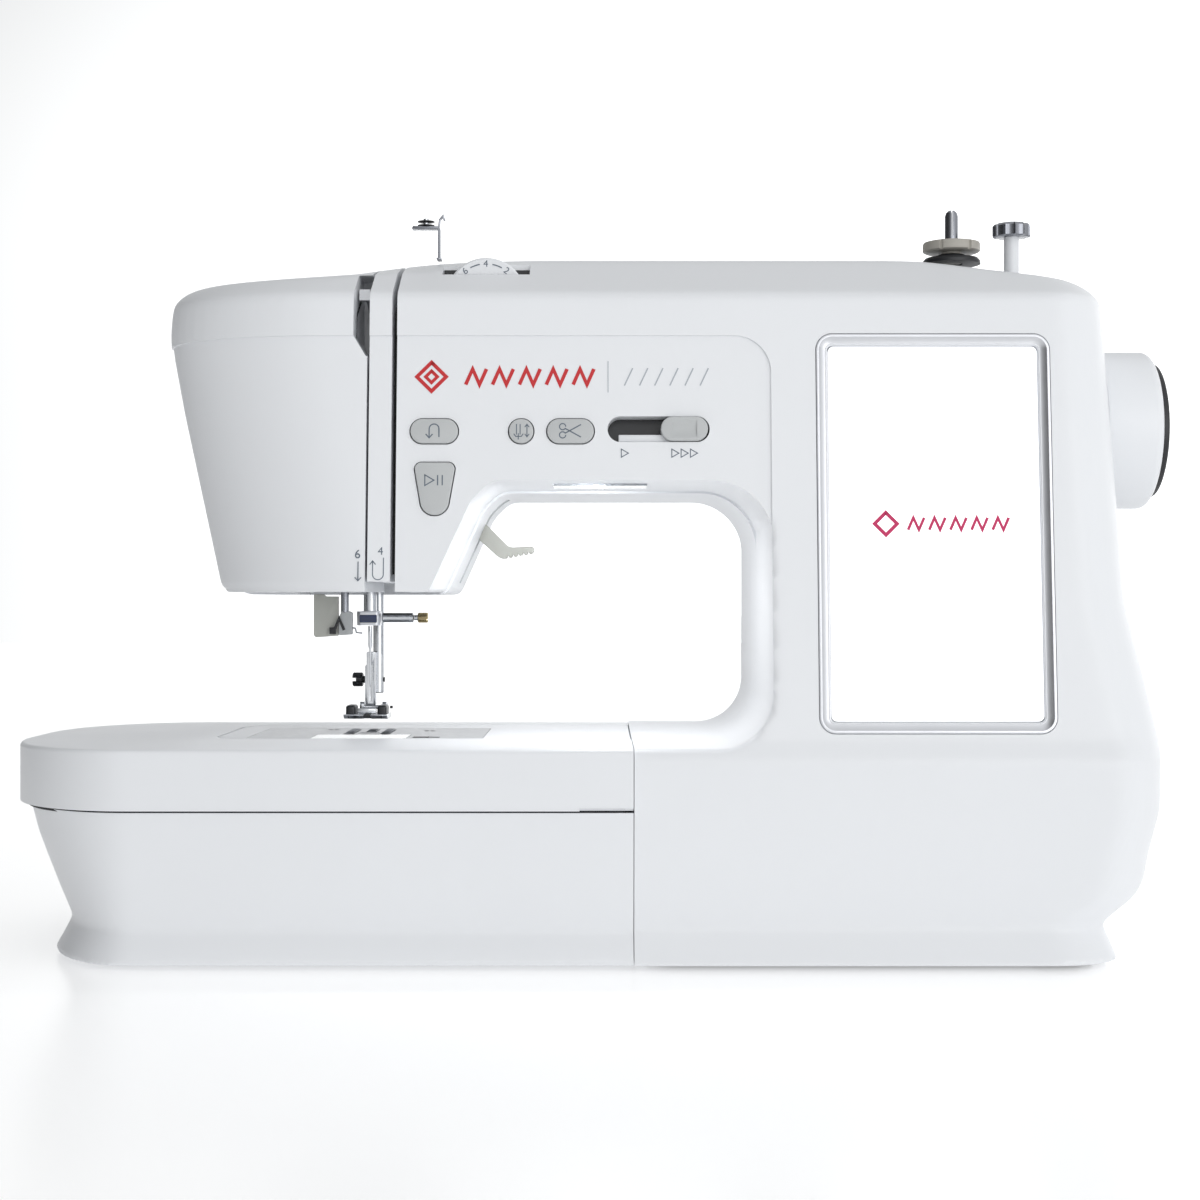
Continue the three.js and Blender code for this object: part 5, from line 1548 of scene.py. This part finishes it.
    knob = [
        (0, z + 11.8),
        (radius - 1, z + 11.8),
        (radius, z + 12.3),
        (radius, z + 16.6),
        (radius - 1, z + 17.6),
        (radius - 2.6, z + 17.9),
        (0, z + 17.9),
    ]
    finish_piece(
        turned("z", knob, stop_at, 144, flutes),
        "winder_stop_knob",
        "machine",
        "chrome",
        CHROME_PAINTED_DARK,
        "bobbin_winder_stop",
        angle=30,
    )
    post = turned("z", [(0, low[2]), (3.3, low[2]), (3.3, z + 11.9), (0, z + 11.9)], stop_at, 48)
    finish_piece(post, "winder_stop_post", "machine", "white_plastic", WHITE, angle=30)

    low, high = span("spool_cap")
    centre = (0, (low[1] + high[1]) / 2, (low[2] + high[2]) / 2)
    rim = (high[2] - low[2]) / 2
    cap = [
        (3.3, low[0]),
        (6, low[0]),
        (rim - 2, low[0] + 1.6),
        (rim, low[0] + 2.6),
        (rim, low[0] + 3.8),
        (rim - 1, high[0]),
        (3.3, high[0]),
    ]
    finish_piece(
        turned("x", cap, centre, 96), "spool_cap_disc", "cap", "white_plastic", WHITE, "spool_cap", angle=30
    )
    low, high = span("spool_pin")
    pin = [(0, low[0]), (2.2, low[0] + 0.2), (2.95, low[0] + 2), (2.95, high[0]), (0, high[0])]
    finish_piece(
        turned("x", pin, centre, 48),
        "spool_pin_rod",
        "machine",
        "white_plastic",
        WHITE,
        "spool_pin",
        angle=30,
    )

    low, high = span("carry_handle")
    frame_view = [
        (low[0] + 0.1, low[2] + 0.1, 8),
        (high[0] - 0.1, low[2] + 0.1, 8),
        (high[0] - 0.1, high[2] - 0.1, 3.9),
        (high[0] - 7.9, high[2] - 0.1, 3.9),
        (high[0] - 7.9, low[2] + 9.8, 5),
        (low[0] + 7.9, low[2] + 9.8, 5),
        (low[0] + 7.9, high[2] - 0.1, 3.9),
        (low[0] + 0.1, high[2] - 0.1, 3.9),
    ]
    grip = prism("y", outline(frame_view), low[1] + 0.1, high[1] - 0.1)
    finish_piece(bevel(grip, 1.8, 4), "carry_handle_grip", "handle", "white_plastic", WHITE, "carry_handle")


def plate_pieces():
    """Screws of the needle plate."""
    for k, (x, y) in enumerate(((NEEDLE_X - 19, NEEDLE_Y + 20), (NEEDLE_X + 26, NEEDLE_Y + 12))):
        head = turned(
            "z", [(0, BED - 1.2), (3.2, BED - 1.2), (3.2, BED - 0.2), (2.7, BED), (0, BED)], (x, y, 0), 48
        )
        cut(head, block(x - 0.5, x + 0.5, y - 4, y + 4, BED - 0.7, BED + 1))
        finish_piece(head, f"needle_plate_screw_{k + 1}", "machine", "steel", STEEL, angle=30)


# ---- camera, floor and light ----
def studio():
    camera = bpy.data.objects.new("camera", bpy.data.cameras.new("camera"))
    camera.location = (0, -0.9, 0.149)
    camera.rotation_euler = (math.pi / 2, 0, 0)
    camera.data.lens = 60
    camera.data.sensor_width = 36
    camera.data.clip_start = 0.01
    bpy.context.scene.collection.objects.link(camera)
    bpy.context.scene.camera = camera
    bpy.context.scene.view_settings.view_transform = "Standard"

    bpy.ops.mesh.primitive_plane_add(size=12, location=(0, 0, 0))
    floor = bpy.context.object
    floor.name = "floor"
    g = Graph("floor_white")
    cloud = g.noise(2.0, 2.0)
    look = g.set(
        Base_Color=g.mix(cloud, (0.90, 0.90, 0.90, 1), (0.92, 0.92, 0.92, 1)),
        Roughness=cloud * 0.05 + 0.22,
        Emission_Color=(1.0, 1.0, 1.0, 1.0),
        Emission_Strength=0.28,
    )
    floor.data.materials.append(look)

    sky = Sky("studio")
    level = 1 - sky.side((0, 0, 1), 0.15, 0.6)
    darker_left = 1 - sky.side((-1, 0, 0), -0.1, 0.7) * 0.80
    backdrop = sky.side((0, 1, 0), 0.45, 0.9) * level * 1.15
    front = sky.side((0, -1, 0), 0.2, 0.95) * 0.70
    right = sky.side((1, 0, 0), 0.1, 0.9) * 0.40
    above = sky.side((0, 0, 1), 0.55, 1.0) * 0.42
    strength = (backdrop + front + right + above + 0.45) * darker_left
    bpy.context.scene.world = sky.set(Color=(0.985, 0.995, 1.0, 1.0), Strength=strength)

    work_light = (
        (LAMP_LOW[0] + LAMP_HIGH[0]) / 2000, (LAMP_LOW[1] + LAMP_HIGH[1]) / 2000, (UNDERSIDE - 1) / 1000
    )
    lamps = (
        ("key", (0.9, -1.5, 0.3), (0, 0, 0.15), 0.9, 3.5),
        ("fill", (0.1, -1.6, 0.6), (0, 0, 0.15), 0.5, 1.0),
        ("work_light", work_light, (-0.02, -0.02, 0.05), 0.012, 0.10),
    )
    for name, place, target, size, power in lamps:
        lamp = bpy.data.objects.new(name, bpy.data.lights.new(name, "AREA"))
        lamp.data.size = size
        lamp.data.energy = power
        lamp.location = place
        lamp.rotation_euler = (Vector(target) - Vector(place)).to_track_quat("-Z", "Y").to_euler()
        bpy.context.scene.collection.objects.link(lamp)


studio()
casings()
tray()
free_arm()
controls()
printed_marks()
screen()
handwheel()
needle_unit()
presser_lever()
top_pieces()
plate_pieces()
dress_inner_nodes()
